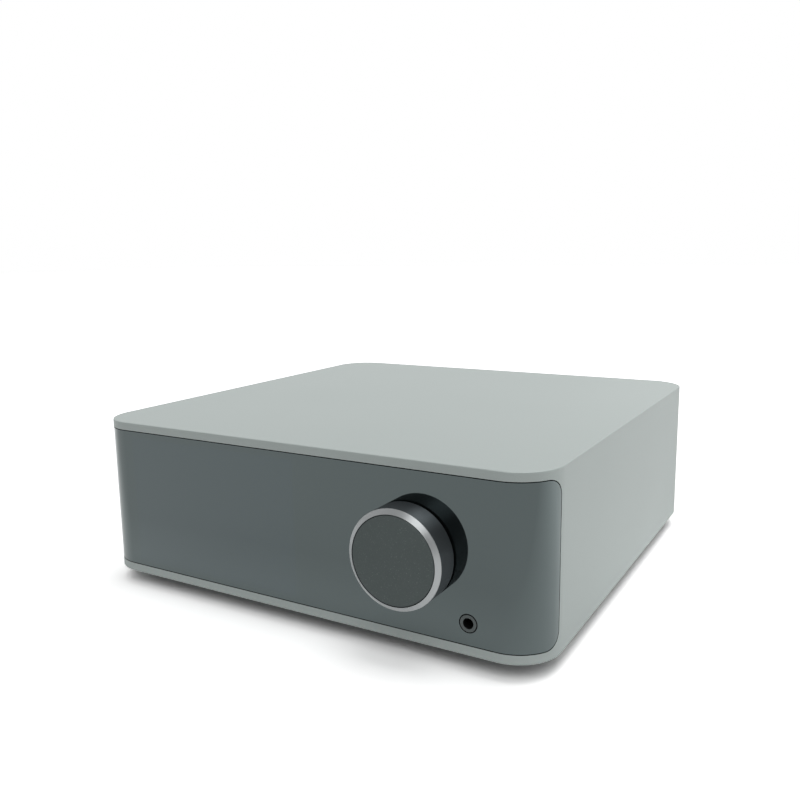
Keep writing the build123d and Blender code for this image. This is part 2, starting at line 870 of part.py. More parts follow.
# Knob shell: bevelled ring with a web behind its face
knob_cavity_radius = knob_radius - knob_wall
spigot_hole = hub_spigot_radius + hub_clearance
face_bore = knob_face_radius + knob_face_clearance
with BuildPart() as knob_shell:
    with BuildSketch(knob_section):
        with BuildLine():
            Polyline(
                (face_bore, knob_front),
                (knob_radius - knob_bevel_width, knob_front),
                (knob_radius, knob_front + knob_bevel_depth),
                (knob_radius, knob_back - knob_back_break),
                (knob_radius - knob_back_break, knob_back),
                (knob_cavity_radius, knob_back),
                (knob_cavity_radius, web_back),
                (spigot_hole, web_back),
                (spigot_hole, face_back),
                (face_bore, face_back),
                close=True,
            )
        make_face()
    revolve(axis=knob_axis)
knob_shell.part.label = "knob_shell"
export_step(knob_shell.part, "parts/knob_shell.step")

# Knob face: disc let into the ring
with BuildPart() as knob_face:
    rod_along_y(knob_x, knob_z, knob_front, face_back, knob_face_radius)
knob_face.part.label = "knob_face"
export_step(knob_face.part, "parts/knob_face.step")

# Knob hub: flange and boss with a D-shaped bore for the shaft
with BuildPart() as knob_hub:
    with BuildSketch(knob_section):
        with BuildLine():
            Polyline(
                (0, face_back),
                (hub_spigot_radius, face_back),
                (hub_spigot_radius, web_back),
                (hub_flange_radius, web_back),
                (hub_flange_radius, web_back + hub_flange_thickness),
                (hub_boss_radius, web_back + hub_flange_thickness),
                (hub_boss_radius, hub_back),
                (0, hub_back),
                close=True,
            )
        make_face()
    revolve(axis=knob_axis)
    with BuildSketch(Plane.XZ.offset(-hub_back)):
        with Locations((knob_x, knob_z)):
            Circle(shaft_radius + bushing_bore_clearance)
        with Locations((knob_x, knob_z + shaft_radius - shaft_flat + bushing_bore_clearance)):
            Rectangle(
                2 * shaft_radius + overrun, shaft_radius, align=(Align.CENTER, Align.MIN),
                mode=Mode.SUBTRACT,
            )
    extrude(amount=hub_back - face_back, mode=Mode.SUBTRACT)
knob_hub.part.label = "knob_hub"
export_step(knob_hub.part, "parts/knob_hub.step")

# Headphone jack: body behind the carrier with a nose through it
with BuildPart() as headphone_jack:
    plate_along_y(jack_x, jack_z, jack_body_size, jack_body_size, carrier_back, jack_back)
    rod_along_y(jack_x, jack_z, carrier_front, carrier_back, jack_nose_radius)
    rod_along_y(
        jack_x, jack_z, carrier_front, jack_back - jack_end_wall, jack_bore_radius, Mode.SUBTRACT
    )
headphone_jack.part.label = "headphone_jack"
export_step(headphone_jack.part, "parts/headphone_jack.step")

# Metal collar round the headphone jack's mouth
with BuildPart() as headphone_collar:
    rod_along_y(jack_x, jack_z, front_face - collar_proud, carrier_front, collar_radius)
    chamfer(headphone_collar.faces().sort_by(Axis.Y)[0].edges(), collar_break)
    rod_along_y(
        jack_x, jack_z, front_face - collar_proud, carrier_front, jack_bore_radius, Mode.SUBTRACT
    )
headphone_collar.part.label = "headphone_collar"
export_step(headphone_collar.part, "parts/headphone_collar.step")

# Base plate: flange inside the walls, and a tray that steps down to the feet
standoff_places = [
    (x, y)
    for x in (-main_board_side + board_screw_inset, main_board_side - board_screw_inset)
    for y in (main_board_front + board_screw_inset, main_board_rear_screws)
]
standoff_places += [(0, main_board_front + board_screw_inset), (0, main_board_rear_screws)]
main_board_places = list(standoff_places)
power_board_places = [
    (x, y)
    for x in (power_board_left + board_screw_inset, power_board_right - board_screw_inset)
    for y in (power_board_front + board_screw_inset, power_board_back - board_screw_inset)
]
standoff_places += power_board_places
base_screw_places = [
    (side * side_screw_x, post_front + side_post_width / 2)
    for side in (-1, 1)
    for post_front in post_fronts
]
foot_places = [(x, y) for x in (-foot_x, foot_x) for y in (-foot_y, foot_y)]
flange_inset = case_wall + glass_gap
# the vents under the power board fill the room between its standoffs
power_vent_y = (power_board_front + power_board_back) / 2
power_vent_room = power_board_back - power_board_front - 2 * (
    board_screw_inset + standoff_radius + vent_margin
)
power_vent_rows = 1 + int((power_vent_room - vent_width) / vent_pitch)
vent_fields = ((power_vent_y, power_vent_rows), (main_board_front + main_vent_offset, vent_rows))
with BuildPart() as base_plate:
    rounded_slab(flange_inset, corner_radius - flange_inset, flange_bottom, flange_top)
    rounded_slab(tray_inset, tray_corner_radius, tray_bottom, flange_bottom)
    rounded_slab(
        tray_inset + tray_wall, tray_corner_radius - tray_wall, tray_top, flange_top, Mode.SUBTRACT
    )
    with BuildSketch(Plane.XY.offset(tray_bottom)):
        with Locations(*foot_places):
            Circle(foot_radius + foot_clearance)
    extrude(amount=foot_recess, mode=Mode.SUBTRACT)
    with BuildSketch(Plane.XY.offset(tray_top)):
        with Locations(*standoff_places):
            Circle(standoff_radius + screw_clearance)
    extrude(amount=-standoff_seat, mode=Mode.SUBTRACT)
    with BuildSketch(Plane.XY.offset(tray_bottom)):
        for y, rows in vent_fields:
            with Locations((0, y)):
                with GridLocations(2 * vent_column_x, vent_pitch, 2, rows):
                    SlotOverall(vent_length, vent_width)
    extrude(amount=tray_floor, mode=Mode.SUBTRACT)
    with Locations(*[Plane(origin=(x, y, flange_bottom), z_dir=(0, 0, -1)) for x, y in base_screw_places]):
        CounterSinkHole(
            radius=base_screw_radius + head_clearance,
            counter_sink_radius=base_head_radius + head_clearance,
            depth=base_flange_thickness + overrun,
            counter_sink_angle=base_head_angle,
        )
base_plate.part.label = "base_plate"
export_step(base_plate.part, "parts/base_plate.step")

# Four rubber feet, let into the tray
with BuildPart() as feet:
    with BuildSketch():
        with Locations(*foot_places):
            Circle(foot_radius)
    extrude(amount=foot_height)
    chamfer(feet.faces().group_by(Axis.Z)[0].edges(), foot_edge)
feet.part.label = "feet"
export_step(feet.part, "parts/feet.step")

# Countersunk screw for the base
with BuildPart() as one_base_screw:
    with BuildSketch(Plane.XZ):
        with BuildLine():
            Polyline(
                (0, 0),
                (base_head_radius, 0),
                (base_screw_radius, base_head_height),
                (base_screw_radius, base_screw_length - screw_point),
                (base_screw_radius - screw_point, base_screw_length),
                (0, base_screw_length),
                close=True,
            )
        make_face()
    revolve(axis=Axis.Z)
    with BuildSketch():
        RegularPolygon(drive_radius, 6)
    extrude(amount=drive_depth, mode=Mode.SUBTRACT)
with BuildPart() as base_screws:
    with Locations(*[(x, y, flange_bottom + screw_clearance) for x, y in base_screw_places]):
        add(one_base_screw.part)
base_screws.part.label = "base_screws"
export_step(base_screws.part, "parts/base_screws.step")

# Pan-head screw for the panel, the carrier and the boards
with BuildPart() as one_small_screw:
    with BuildSketch(Plane.XZ):
        with BuildLine():
            Polyline(
                (0, -small_screw_length),
                (small_screw_radius - screw_point, -small_screw_length),
                (small_screw_radius, screw_point - small_screw_length),
                (small_screw_radius, 0),
                (small_head_radius, 0),
                (small_head_radius, small_head_height - screw_point),
                (small_head_radius - screw_point, small_head_height),
                (0, small_head_height),
                close=True,
            )
        make_face()
    revolve(axis=Axis.Z)
    with BuildSketch(Plane.XY.offset(small_head_height)):
        RegularPolygon(drive_radius, 6)
    extrude(amount=-drive_depth, mode=Mode.SUBTRACT)
backward, forward, upward = (0, 1, 0), (0, -1, 0), (0, 0, 1)
screw_seats = [
    Plane(origin=(side * rear_screw_x, panel_face, z), z_dir=backward)
    for side in (-1, 1)
    for z in rear_screw_z
]
screw_seats += [
    Plane(origin=(side * carrier_screw_x, carrier_end - carrier_tab_depth, z), z_dir=forward)
    for side in (-1, 1)
    for z in carrier_screw_z
]
screw_seats += [Plane(origin=(x, front_board_back, z), z_dir=backward) for x, z in pillar_places]
screw_seats += [Plane(origin=(x, y, board_top), z_dir=upward) for x, y in standoff_places]
with BuildPart() as small_screws:
    with Locations(*screw_seats):
        add(one_small_screw.part)
small_screws.part.label = "small_screws"
export_step(small_screws.part, "parts/small_screws.step")

# Rear panel with the openings for every socket
panel_width = rear_opening_width - 2 * seat_gap
panel_height = panel_top - panel_bottom - 2 * seat_gap
panel_centre_z = (panel_bottom + panel_top) / 2
cut_front = panel_back - overrun
cut_back = panel_face + overrun
with BuildPart() as rear_panel:
    plate_along_y(
        0, panel_centre_z, panel_width, panel_height, panel_back, panel_face,
        rear_opening_radius - seat_gap,
    )
    for x in rca_x:
        for z in rca_z:
            rod_along_y(
                x, z, cut_front, cut_back, rca_barrel_radius + rca_panel_clearance, Mode.SUBTRACT
            )
    for x in optical_x:
        plate_along_y(
            x, optical_window_z, optical_window + 2 * panel_window_margin,
            optical_window + 2 * panel_window_margin, cut_front, cut_back, 0, Mode.SUBTRACT,
        )
    for x, z, width, height in (
        (hdmi_x, hdmi_z, hdmi_width, hdmi_height),
        (usb_x, usb_z, usb_width, usb_height),
        (network_x, board_top + network_height / 2, network_width, network_height),
        (inlet_x, inlet_z, inlet_body_width, inlet_body_height),
    ):
        plate_along_y(
            x, z, width + 2 * panel_window_margin, height + 2 * panel_window_margin,
            cut_front, cut_back, panel_window_margin, Mode.SUBTRACT,
        )
    for x, z, radius in (
        (trigger_x, trigger_z, trigger_nose_radius + jack_clearance),
        (button_x, button_z, button_radius + button_clearance),
        (ground_x, ground_z, stud_radius + head_clearance),
    ):
        rod_along_y(x, z, cut_front, cut_back, radius, Mode.SUBTRACT)
    for side in (-1, 1):
        for z in rear_screw_z:
            rod_along_y(
                side * rear_screw_x, z, cut_front, cut_back,
                small_screw_radius + screw_clearance, Mode.SUBTRACT,
            )
rear_panel.part.label = "rear_panel"
export_step(rear_panel.part, "parts/rear_panel.step")


def board(left, right, front, back, places):
    """Circuit board with a hole at each screw."""
    with BuildSketch(Plane.XY.offset(board_bottom)) as outline:
        with Locations((left, front)):
            Rectangle(right - left, back - front, align=(Align.MIN, Align.MIN))
        with Locations(*places):
            Circle(small_screw_radius + screw_clearance, mode=Mode.SUBTRACT)
    extrude(outline.sketch, amount=board_thickness)


# Main board and power board
with BuildPart() as main_board:
    board(-main_board_side, main_board_side, main_board_front, main_board_back, main_board_places)
main_board.part.label = "main_board"
export_step(main_board.part, "parts/main_board.step")

with BuildPart() as power_board:
    board(
        power_board_left, power_board_right, power_board_front, power_board_back, power_board_places
    )
power_board.part.label = "power_board"
export_step(power_board.part, "parts/power_board.step")

# Standoffs under both boards
with BuildPart() as standoffs:
    with BuildSketch(Plane.XY.offset(tray_top - standoff_seat)):
        with Locations(*standoff_places):
            Circle(standoff_radius)
    extrude(amount=standoff_height + standoff_seat)
    with BuildSketch(Plane.XY.offset(board_bottom)):
        with Locations(*standoff_places):
            Circle(small_screw_radius + screw_clearance)
    extrude(amount=board_thickness - small_screw_length, mode=Mode.SUBTRACT)
standoffs.part.label = "standoffs"
export_step(standoffs.part, "parts/standoffs.step")

# Phono blocks: moulded housing, plated barrel, coloured insulator and centre contact
barrel_front = panel_back - rca_barrel_seat
barrel_back = panel_face + rca_barrel_length
ring_back = barrel_back - rca_ring_inset
contact_back = ring_back - rca_contact_inset
with BuildPart() as rca_housings:
    for x in rca_x:
        box_between(
            (x - rca_block_width / 2, x + rca_block_width / 2),
            (panel_back - rca_block_depth, panel_back),
            (board_top, board_top + rca_block_height),
        )
        for z in rca_z:
            rod_along_y(
                x, z, barrel_front, panel_back, rca_neck_radius + rca_ring_clearance, Mode.SUBTRACT
            )
rca_housings.part.label = "rca_housings"
export_step(rca_housings.part, "parts/rca_housings.step")

with BuildPart() as rca_barrels:
    for x in rca_x:
        for z in rca_z:
            rod_along_y(x, z, barrel_front, panel_face, rca_neck_radius)
            rod_along_y(x, z, panel_face, barrel_back, rca_barrel_radius)
    chamfer(rca_barrels.faces().group_by(Axis.Y)[-1].edges(), barrel_break)
    for x in rca_x:
        for z in rca_z:
            rod_along_y(
                x, z, barrel_front, barrel_back, rca_barrel_radius - rca_barrel_wall, Mode.SUBTRACT
            )
rca_barrels.part.label = "rca_barrels"
export_step(rca_barrels.part, "parts/rca_barrels.step")


def insulators(places):
    """Insulating rings that fill the barrels round their contacts."""
    for x, z in places:
        rod_along_y(
            x, z, barrel_front, ring_back, rca_barrel_radius - rca_barrel_wall - rca_ring_clearance
        )
        rod_along_y(
            x, z, barrel_front, ring_back, rca_contact_radius + rca_ring_clearance, Mode.SUBTRACT
        )


with BuildPart() as rca_rings_white:
    insulators([(x, rca_z[1]) for x in rca_x[:-1]])
rca_rings_white.part.label = "rca_rings_white"
export_step(rca_rings_white.part, "parts/rca_rings_white.step")

with BuildPart() as rca_rings_red:
    insulators([(x, rca_z[0]) for x in rca_x[:-1]])
rca_rings_red.part.label = "rca_rings_red"
export_step(rca_rings_red.part, "parts/rca_rings_red.step")

with BuildPart() as rca_rings_black:
    insulators([(rca_x[-1], z) for z in rca_z])
rca_rings_black.part.label = "rca_rings_black"
export_step(rca_rings_black.part, "parts/rca_rings_black.step")

with BuildPart() as rca_contacts:
    for x in rca_x:
        for z in rca_z:
            rod_along_y(x, z, barrel_front, contact_back, rca_contact_radius)
            rod_along_y(
                x, z, barrel_front + rca_contact_wall, contact_back, rca_contact_bore, Mode.SUBTRACT
            )
rca_contacts.part.label = "rca_contacts"
export_step(rca_contacts.part, "parts/rca_contacts.step")

# Optical sockets: hollow housings with pivot holes for the shutters
chamber_bottom = board_top + optical_chamber_bottom
with BuildPart() as optical_sockets:
    for x in optical_x:
        box_between(
            (x - optical_width / 2, x + optical_width / 2),
            (panel_back - optical_depth, panel_back),
            (board_top, board_top + optical_height),
        )
        box_between(
            (x - optical_chamber_width / 2, x + optical_chamber_width / 2),
            (panel_back - optical_front_wall - optical_chamber_depth, panel_back - optical_front_wall),
            (chamber_bottom, chamber_bottom + optical_chamber_height), Mode.SUBTRACT,
        )
        plate_along_y(
            x, optical_window_z, optical_window, optical_window,
            panel_back - optical_front_wall, panel_back, 0, Mode.SUBTRACT,
        )
        with BuildSketch(Plane.YZ.offset(x - optical_width / 2)):
            with Locations((pivot_y, pivot_z)):
                Circle(shutter_pivot_radius + shutter_pivot_clearance)
        extrude(amount=optical_width, mode=Mode.SUBTRACT)
optical_sockets.part.label = "optical_sockets"
export_step(optical_sockets.part, "parts/optical_sockets.step")


def shutter(x):
    """Flap that hangs from a pivot across the top of its socket."""
    box_between(
        (x - shutter_width / 2, x + shutter_width / 2),
        (pivot_y - shutter_thickness / 2, pivot_y + shutter_thickness / 2),
        (chamber_bottom + shutter_bottom_gap, pivot_z),
    )
    with BuildSketch(Plane.YZ.offset(x - shutter_pivot_length / 2)) as outline:
        with Locations((pivot_y, pivot_z)):
            Circle(shutter_pivot_radius)
    extrude(outline.sketch, amount=shutter_pivot_length)


with BuildPart() as optical_in_shutter:
    shutter(optical_x[0])
optical_in_shutter.part.label = "optical_in_shutter"
export_step(optical_in_shutter.part, "parts/optical_in_shutter.step")

with BuildPart() as optical_out_shutter:
    shutter(optical_x[1])
optical_out_shutter.part.label = "optical_out_shutter"
export_step(optical_out_shutter.part, "parts/optical_out_shutter.step")

# Video socket: shell with slanted lower corners, and its tongue
socket_back = panel_face + socket_proud


def hdmi_outline(inset):
    """Video socket's outline, set in by the sheet's thickness where asked."""
    half_width = hdmi_width / 2 - inset
    half_height = hdmi_height / 2 - inset
    corner = hdmi_corner - inset / 2
    with BuildSketch(Plane.XZ.offset(-socket_back)) as outline:
        with Locations((hdmi_x, hdmi_z)):
            Polygon(
                (-half_width, half_height),
                (half_width, half_height),
                (half_width, corner - half_height),
                (half_width - corner, -half_height),
                (corner - half_width, -half_height),
                (-half_width, corner - half_height),
                align=None,
            )
    return outline.sketch


with BuildPart() as hdmi_shell:
    extrude(hdmi_outline(0), amount=hdmi_depth)
    extrude(hdmi_outline(socket_sheet), amount=hdmi_depth - socket_back_wall, mode=Mode.SUBTRACT)
hdmi_shell.part.label = "hdmi_shell"
export_step(hdmi_shell.part, "parts/hdmi_shell.step")

with BuildPart() as hdmi_insert:
    plate_along_y(
        hdmi_x, hdmi_z + tongue_raise, hdmi_width - 2 * tongue_margin - hdmi_corner, tongue_thickness,
        socket_back - hdmi_depth + socket_back_wall, socket_back - tongue_setback,
    )
hdmi_insert.part.label = "hdmi_insert"
export_step(hdmi_insert.part, "parts/hdmi_insert.step")

# Storage socket: rectangular shell and its tongue
with BuildPart() as usb_shell:
    plate_along_y(
        usb_x, usb_z, usb_width, usb_height, socket_back - usb_depth, socket_back, socket_sheet
    )
    plate_along_y(
        usb_x, usb_z, usb_width - 2 * socket_sheet, usb_height - 2 * socket_sheet,
        socket_back - usb_depth + socket_back_wall, socket_back, 0, Mode.SUBTRACT,
    )
usb_shell.part.label = "usb_shell"
export_step(usb_shell.part, "parts/usb_shell.step")

with BuildPart() as usb_insert:
    plate_along_y(
        usb_x, usb_z + tongue_raise, usb_width - 2 * tongue_margin, tongue_thickness,
        socket_back - usb_depth + socket_back_wall, socket_back - tongue_setback,
    )
usb_insert.part.label = "usb_insert"
export_step(usb_insert.part, "parts/usb_insert.step")

# Network socket with the plug's cavity and the notch for its latch below
network_back = panel_face - seat_gap / 2
plug_bottom = board_top + network_plug_bottom
with BuildPart() as network_socket:
    box_between(
        (network_x - network_width / 2, network_x + network_width / 2),
        (network_back - network_depth, network_back),
        (board_top, board_top + network_height),
    )
    box_between(
        (network_x - network_plug_width / 2, network_x + network_plug_width / 2),
        (network_back - network_plug_depth, network_back),
        (plug_bottom, plug_bottom + network_plug_height), Mode.SUBTRACT,
    )
    box_between(
        (network_x - network_latch_width / 2, network_x + network_latch_width / 2),
        (network_back - network_plug_depth, network_back),
        (plug_bottom - network_latch_height, plug_bottom), Mode.SUBTRACT,
    )
network_socket.part.label = "network_socket"
export_step(network_socket.part, "parts/network_socket.step")

# Trigger jack: body behind the panel with a nose through it
trigger_mouth = panel_back + trigger_nose_length
with BuildPart() as trigger_jack:
    plate_along_y(
        trigger_x, trigger_z, trigger_body, trigger_body,
        trigger_mouth - jack_bore_length - jack_end_wall, panel_back,
    )
    rod_along_y(trigger_x, trigger_z, panel_back, trigger_mouth, trigger_nose_radius)
    rod_along_y(
        trigger_x, trigger_z, trigger_mouth - jack_bore_length, trigger_mouth,
        jack_bore_radius, Mode.SUBTRACT,
    )
trigger_jack.part.label = "trigger_jack"
export_step(trigger_jack.part, "parts/trigger_jack.step")

# Power button: cap through the panel, a flange that keeps it in, and a stem into the switch
with BuildPart() as power_button:
    rod_along_y(button_x, button_z, flange_back, panel_face + button_proud, button_radius)
    chamfer(power_button.faces().sort_by(Axis.Y)[-1].edges(), button_edge)
    rod_along_y(
        button_x, button_z, flange_back, flange_back + button_flange_thickness, button_flange_radius
    )
    rod_along_y(button_x, button_z, flange_back - button_stem_length, flange_back, button_stem_radius)
power_button.part.label = "power_button"
export_step(power_button.part, "parts/power_button.step")

# Switch on the main board that the button's stem presses
switch_back = flange_back - switch_gap
with BuildPart() as power_switch:
    box_between(
        (button_x - switch_width / 2, button_x + switch_width / 2),
        (switch_back - switch_depth, switch_back),
        (board_top, board_top + switch_height),
    )
    rod_along_y(
        button_x, button_z, switch_back - switch_bore_depth, switch_back,
        button_stem_radius + switch_bore_clearance, Mode.SUBTRACT,
    )
power_switch.part.label = "power_switch"
export_step(power_switch.part, "parts/power_switch.step")

# Return spring round the stem
spring_length = switch_gap - 2 * spring_end_gap - spring_wire
spring_start = switch_back + spring_end_gap + spring_wire / 2
with BuildPart() as button_spring:
    with BuildLine() as coil:
        Helix(
            pitch=spring_length / spring_turns,
            height=spring_length,
            radius=spring_radius,
            center=(button_x, spring_start, button_z),
            direction=(0, 1, 0),
        )
    with BuildSketch(Plane(origin=coil.line @ 0, z_dir=coil.line % 0)):
        Circle(spring_wire / 2)
    sweep(path=coil.line, is_frenet=True)
button_spring.part.label = "button_spring"
export_step(button_spring.part, "parts/button_spring.step")

# Ground terminal: stud with its head inside the panel, washer and knurled thumb nut
stud_end = panel_face + stud_proud
with BuildPart() as ground_stud:
    rod_along_y(ground_x, ground_z, panel_back, stud_end, stud_radius)
    chamfer(ground_stud.faces().sort_by(Axis.Y)[-1].edges(), stud_point)
    rod_along_y(
        ground_x, ground_z, panel_back - stud_head_thickness, panel_back, stud_head_radius
    )
ground_stud.part.label = "ground_stud"
export_step(ground_stud.part, "parts/ground_stud.step")

with BuildPart() as ground_washer:
    rod_along_y(ground_x, ground_z, panel_face, panel_face + washer_thickness, washer_radius)
    rod_along_y(
        ground_x, ground_z, panel_face, panel_face + washer_thickness,
        stud_radius + thumb_nut_clearance, Mode.SUBTRACT,
    )
ground_washer.part.label = "ground_washer"
export_step(ground_washer.part, "parts/ground_washer.step")

nut_front = panel_face + washer_thickness
with BuildPart() as ground_nut:
    rod_along_y(ground_x, ground_z, nut_front, nut_front + thumb_nut_length, thumb_nut_radius)
    chamfer(ground_nut.edges().filter_by(GeomType.CIRCLE), thumb_nut_break)
    with BuildSketch(Plane.XZ.offset(-nut_front - thumb_nut_length)):
        with Locations((ground_x, ground_z)):
            Circle(stud_radius + thumb_nut_clearance)
            with PolarLocations(thumb_nut_radius, thumb_nut_flute_count):
                Circle(thumb_nut_flute_radius)
    extrude(amount=thumb_nut_length, mode=Mode.SUBTRACT)
ground_nut.part.label = "ground_nut"
export_step(ground_nut.part, "parts/ground_nut.step")

# Mains inlet: flange outside the panel, body through it, snap clips behind it and two pins
inlet_face = panel_face + inlet_flange_thickness
inlet_back = panel_face - inlet_body_depth
with BuildPart() as mains_inlet:
    plate_along_y(
        inlet_x, inlet_z, inlet_flange_width, inlet_flange_height, panel_face, inlet_face,
        inlet_flange_radius,
    )
    chamfer(mains_inlet.faces().sort_by(Axis.Y)[-1].edges(), edge_break)
    plate_along_y(inlet_x, inlet_z, inlet_body_width, inlet_body_height, inlet_back, panel_face)
    plate_along_y(
        inlet_x, inlet_z, inlet_body_width + 2 * inlet_clip_proud, inlet_body_height / 2,
        panel_back - inlet_clip_depth, panel_back,
    )
    with BuildSketch(Plane.XZ.offset(-inlet_face)):
        with Locations((inlet_x, inlet_z)):
            with GridLocations(inlet_cavity_centres, overrun, 2, 1):
                Circle(inlet_cavity_radius)
            Rectangle(inlet_cavity_centres, 2 * inlet_cavity_waist)
    extrude(amount=inlet_cavity_depth, mode=Mode.SUBTRACT)
    with BuildSketch(Plane.XZ.offset(-inlet_face + inlet_cavity_depth)):
        with Locations((inlet_x, inlet_z)):
            with GridLocations(inlet_pin_pitch, overrun, 2, 1):
                Circle(inlet_pin_radius + screw_clearance)
    extrude(amount=inlet_body_depth, mode=Mode.SUBTRACT)
mains_inlet.part.label = "mains_inlet"
export_step(mains_inlet.part, "parts/mains_inlet.step")

pin_sides = (inlet_x - inlet_pin_pitch / 2, inlet_x + inlet_pin_pitch / 2)
with BuildPart() as mains_pins:
    for x in pin_sides:
        rod_along_y(
            x, inlet_z, inlet_back - inlet_tab_length, inlet_face - inlet_pin_setback, inlet_pin_radius
        )
    chamfer(mains_pins.faces().group_by(Axis.Y)[-1].edges(), pin_break)
mains_pins.part.label = "mains_pins"
export_step(mains_pins.part, "parts/mains_pins.step")

# Leads from the inlet's tabs to the terminal block on the power board
terminal_top = board_top + lead_terminal_height
with BuildPart() as mains_leads:
    for x in pin_sides:
        with BuildLine() as route:
            FilletPolyline(
                (x, inlet_back - inlet_tab_length, inlet_z),
                (x, lead_board_y, inlet_z),
                (x, lead_board_y, terminal_top),
                radius=lead_bend,
            )
        with BuildSketch(Plane(origin=route.line @ 0, z_dir=route.line % 0)):
            Circle(lead_radius)
        sweep(path=route.line)
mains_leads.part.label = "mains_leads"
export_step(mains_leads.part, "parts/mains_leads.step")

# Transformer: core with two windows, and its coil round the middle leg
core_top = board_top + transformer_core_height
window_width = (transformer_core_width - transformer_centre_leg) / 2 - transformer_core_leg
window_offset = (transformer_centre_leg + window_width) / 2
window_height = transformer_core_height - 2 * transformer_core_yoke
core_front = transformer_y - transformer_core_depth / 2
core_back = transformer_y + transformer_core_depth / 2
with BuildPart() as transformer_core:
    plate_along_y(
        transformer_x, (board_top + core_top) / 2, transformer_core_width, transformer_core_height,
        core_front, core_back, edge_break,
    )
    for side in (-1, 1):
        plate_along_y(
            transformer_x + side * window_offset, (board_top + core_top) / 2,
            window_width, window_height, core_front, core_back, 0, Mode.SUBTRACT,
        )
transformer_core.part.label = "transformer_core"
export_step(transformer_core.part, "parts/transformer_core.step")

with BuildPart() as transformer_coil:
    with BuildSketch(Plane.XY.offset(board_top + transformer_core_yoke + transformer_coil_clearance)):
        with Locations((transformer_x, transformer_y)):
            RectangleRounded(
                transformer_centre_leg + 2 * window_width - 2 * transformer_coil_clearance,
                transformer_core_depth + 2 * transformer_coil_bulge, transformer_coil_radius,
            )
            Rectangle(
                transformer_centre_leg + 2 * transformer_coil_clearance,
                transformer_core_depth + 2 * transformer_coil_clearance, mode=Mode.SUBTRACT,
            )
    extrude(amount=window_height - 2 * transformer_coil_clearance)
transformer_coil.part.label = "transformer_coil"
export_step(transformer_coil.part, "parts/transformer_coil.step")


def can(x, y, radius, height):
    """Upright electrolytic can with a scored cross on its top."""
    with BuildSketch(Plane.XY.offset(board_top)) as outline:
        with Locations((x, y)):
            Circle(radius)
    extrude(outline.sketch, amount=height)
    with BuildSketch(Plane.XY.offset(board_top + height)) as score:
        with Locations((x, y)):
            Rectangle(radius, can_vent_depth)
            Rectangle(can_vent_depth, radius)
    extrude(score.sketch, amount=-can_vent_depth, mode=Mode.SUBTRACT)


# Smoothing capacitors on the power board and coupling capacitors on the main board
with BuildPart() as capacitors:
    for step in (-1, 0, 1):
        can(big_can_x, power_parts_y + step * big_can_pitch, big_can_radius, big_can_height)
    for i in range(small_can_count):
        can(small_can_x + i * small_can_pitch, small_can_y, small_can_radius, small_can_height)
capacitors.part.label = "capacitors"
export_step(capacitors.part, "parts/capacitors.step")

# Finned heat sink on the processor
sink_bottom = board_top + processor_height
with BuildPart() as processor_heatsink:
    box_between(
        (heatsink_x - heatsink_width / 2, heatsink_x + heatsink_width / 2),
        (heatsink_y - heatsink_depth / 2, heatsink_y + heatsink_depth / 2),
        (sink_bottom, sink_bottom + heatsink_base),
    )
    fin_pitch = (heatsink_width - heatsink_fin) / (heatsink_fin_count - 1)
    with BuildSketch(Plane.XY.offset(sink_bottom + heatsink_base)):
        with Locations((heatsink_x, heatsink_y)):
            with GridLocations(fin_pitch, overrun, heatsink_fin_count, 1):
                Rectangle(heatsink_fin, heatsink_depth)
    extrude(amount=heatsink_height - heatsink_base)
processor_heatsink.part.label = "processor_heatsink"
export_step(processor_heatsink.part, "parts/processor_heatsink.step")

# Shielded wireless module
with BuildPart() as wireless_module:
    box_between(
        (radio_x - radio_width / 2, radio_x + radio_width / 2),
        (radio_y - radio_depth / 2, radio_y + radio_depth / 2),
        (board_top, board_top + radio_height),
    )
    chamfer(wireless_module.faces().sort_by(Axis.Z)[-1].edges(), radio_edge)
wireless_module.part.label = "wireless_module"
export_step(wireless_module.part, "parts/wireless_module.step")

# Two antennas with their leads: one on the right wing of the carrier, one on the rear panel
radio_right = radio_x + radio_width / 2
radio_back = radio_y + radio_depth / 2
radio_mid_z = board_top + radio_height / 2
antenna_mid_y = antenna_back - antenna_width / 2
wing_face = wing_inner - antenna_thickness
with BuildPart() as antennas:
    box_between(
        (wing_face, wing_inner), (antenna_back - antenna_width, antenna_back),
        (antenna_z - antenna_length / 2, antenna_z + antenna_length / 2),
    )
    plate_along_y(
        rear_antenna_x, rear_antenna_z, antenna_length, antenna_width,
        panel_back - antenna_thickness, panel_back,
    )
    for points in (
        (
            (radio_right, radio_y, radio_mid_z),
            (antenna_lead_x, radio_y, radio_mid_z),
            (antenna_lead_x, antenna_mid_y, antenna_z),
            (wing_face, antenna_mid_y, antenna_z),
        ),
        (
            (rear_antenna_lead_x, radio_back, radio_mid_z),
            (rear_antenna_lead_x, rear_antenna_lead_y, radio_mid_z),
            (rear_antenna_lead_x, rear_antenna_lead_y, rear_antenna_z),
            (rear_antenna_lead_x, panel_back - antenna_thickness, rear_antenna_z),
        ),
    ):
        with BuildLine() as route:
            FilletPolyline(*points, radius=antenna_lead_bend)
        with BuildSketch(Plane(origin=route.line @ 0, z_dir=route.line % 0)):
            Circle(antenna_lead_radius)
        sweep(path=route.line)
antennas.part.label = "antennas"
export_step(antennas.part, "parts/antennas.step")

# Flat cable from the front board's connector to the main board's
cable_left = cable_x - cable_width / 2
cable_front = front_board_back + connector_height
cable_back = main_board_front + connector_setback
cable_low_z = board_top + connector_height / 2
with BuildPart() as board_cable:
    with BuildSketch(Plane.YZ.offset(cable_left)):
        with BuildLine() as cable_route:
            FilletPolyline(
                (cable_front, cable_high_z),
                (cable_front + cable_bend, cable_high_z),
                (cable_back - cable_run, cable_low_z),
                (cable_back, cable_low_z),
                radius=cable_bend,
            )
        trace(cable_route.line, line_width=cable_thickness)
    extrude(amount=cable_width)
board_cable.part.label = "board_cable"
export_step(board_cable.part, "parts/board_cable.step")

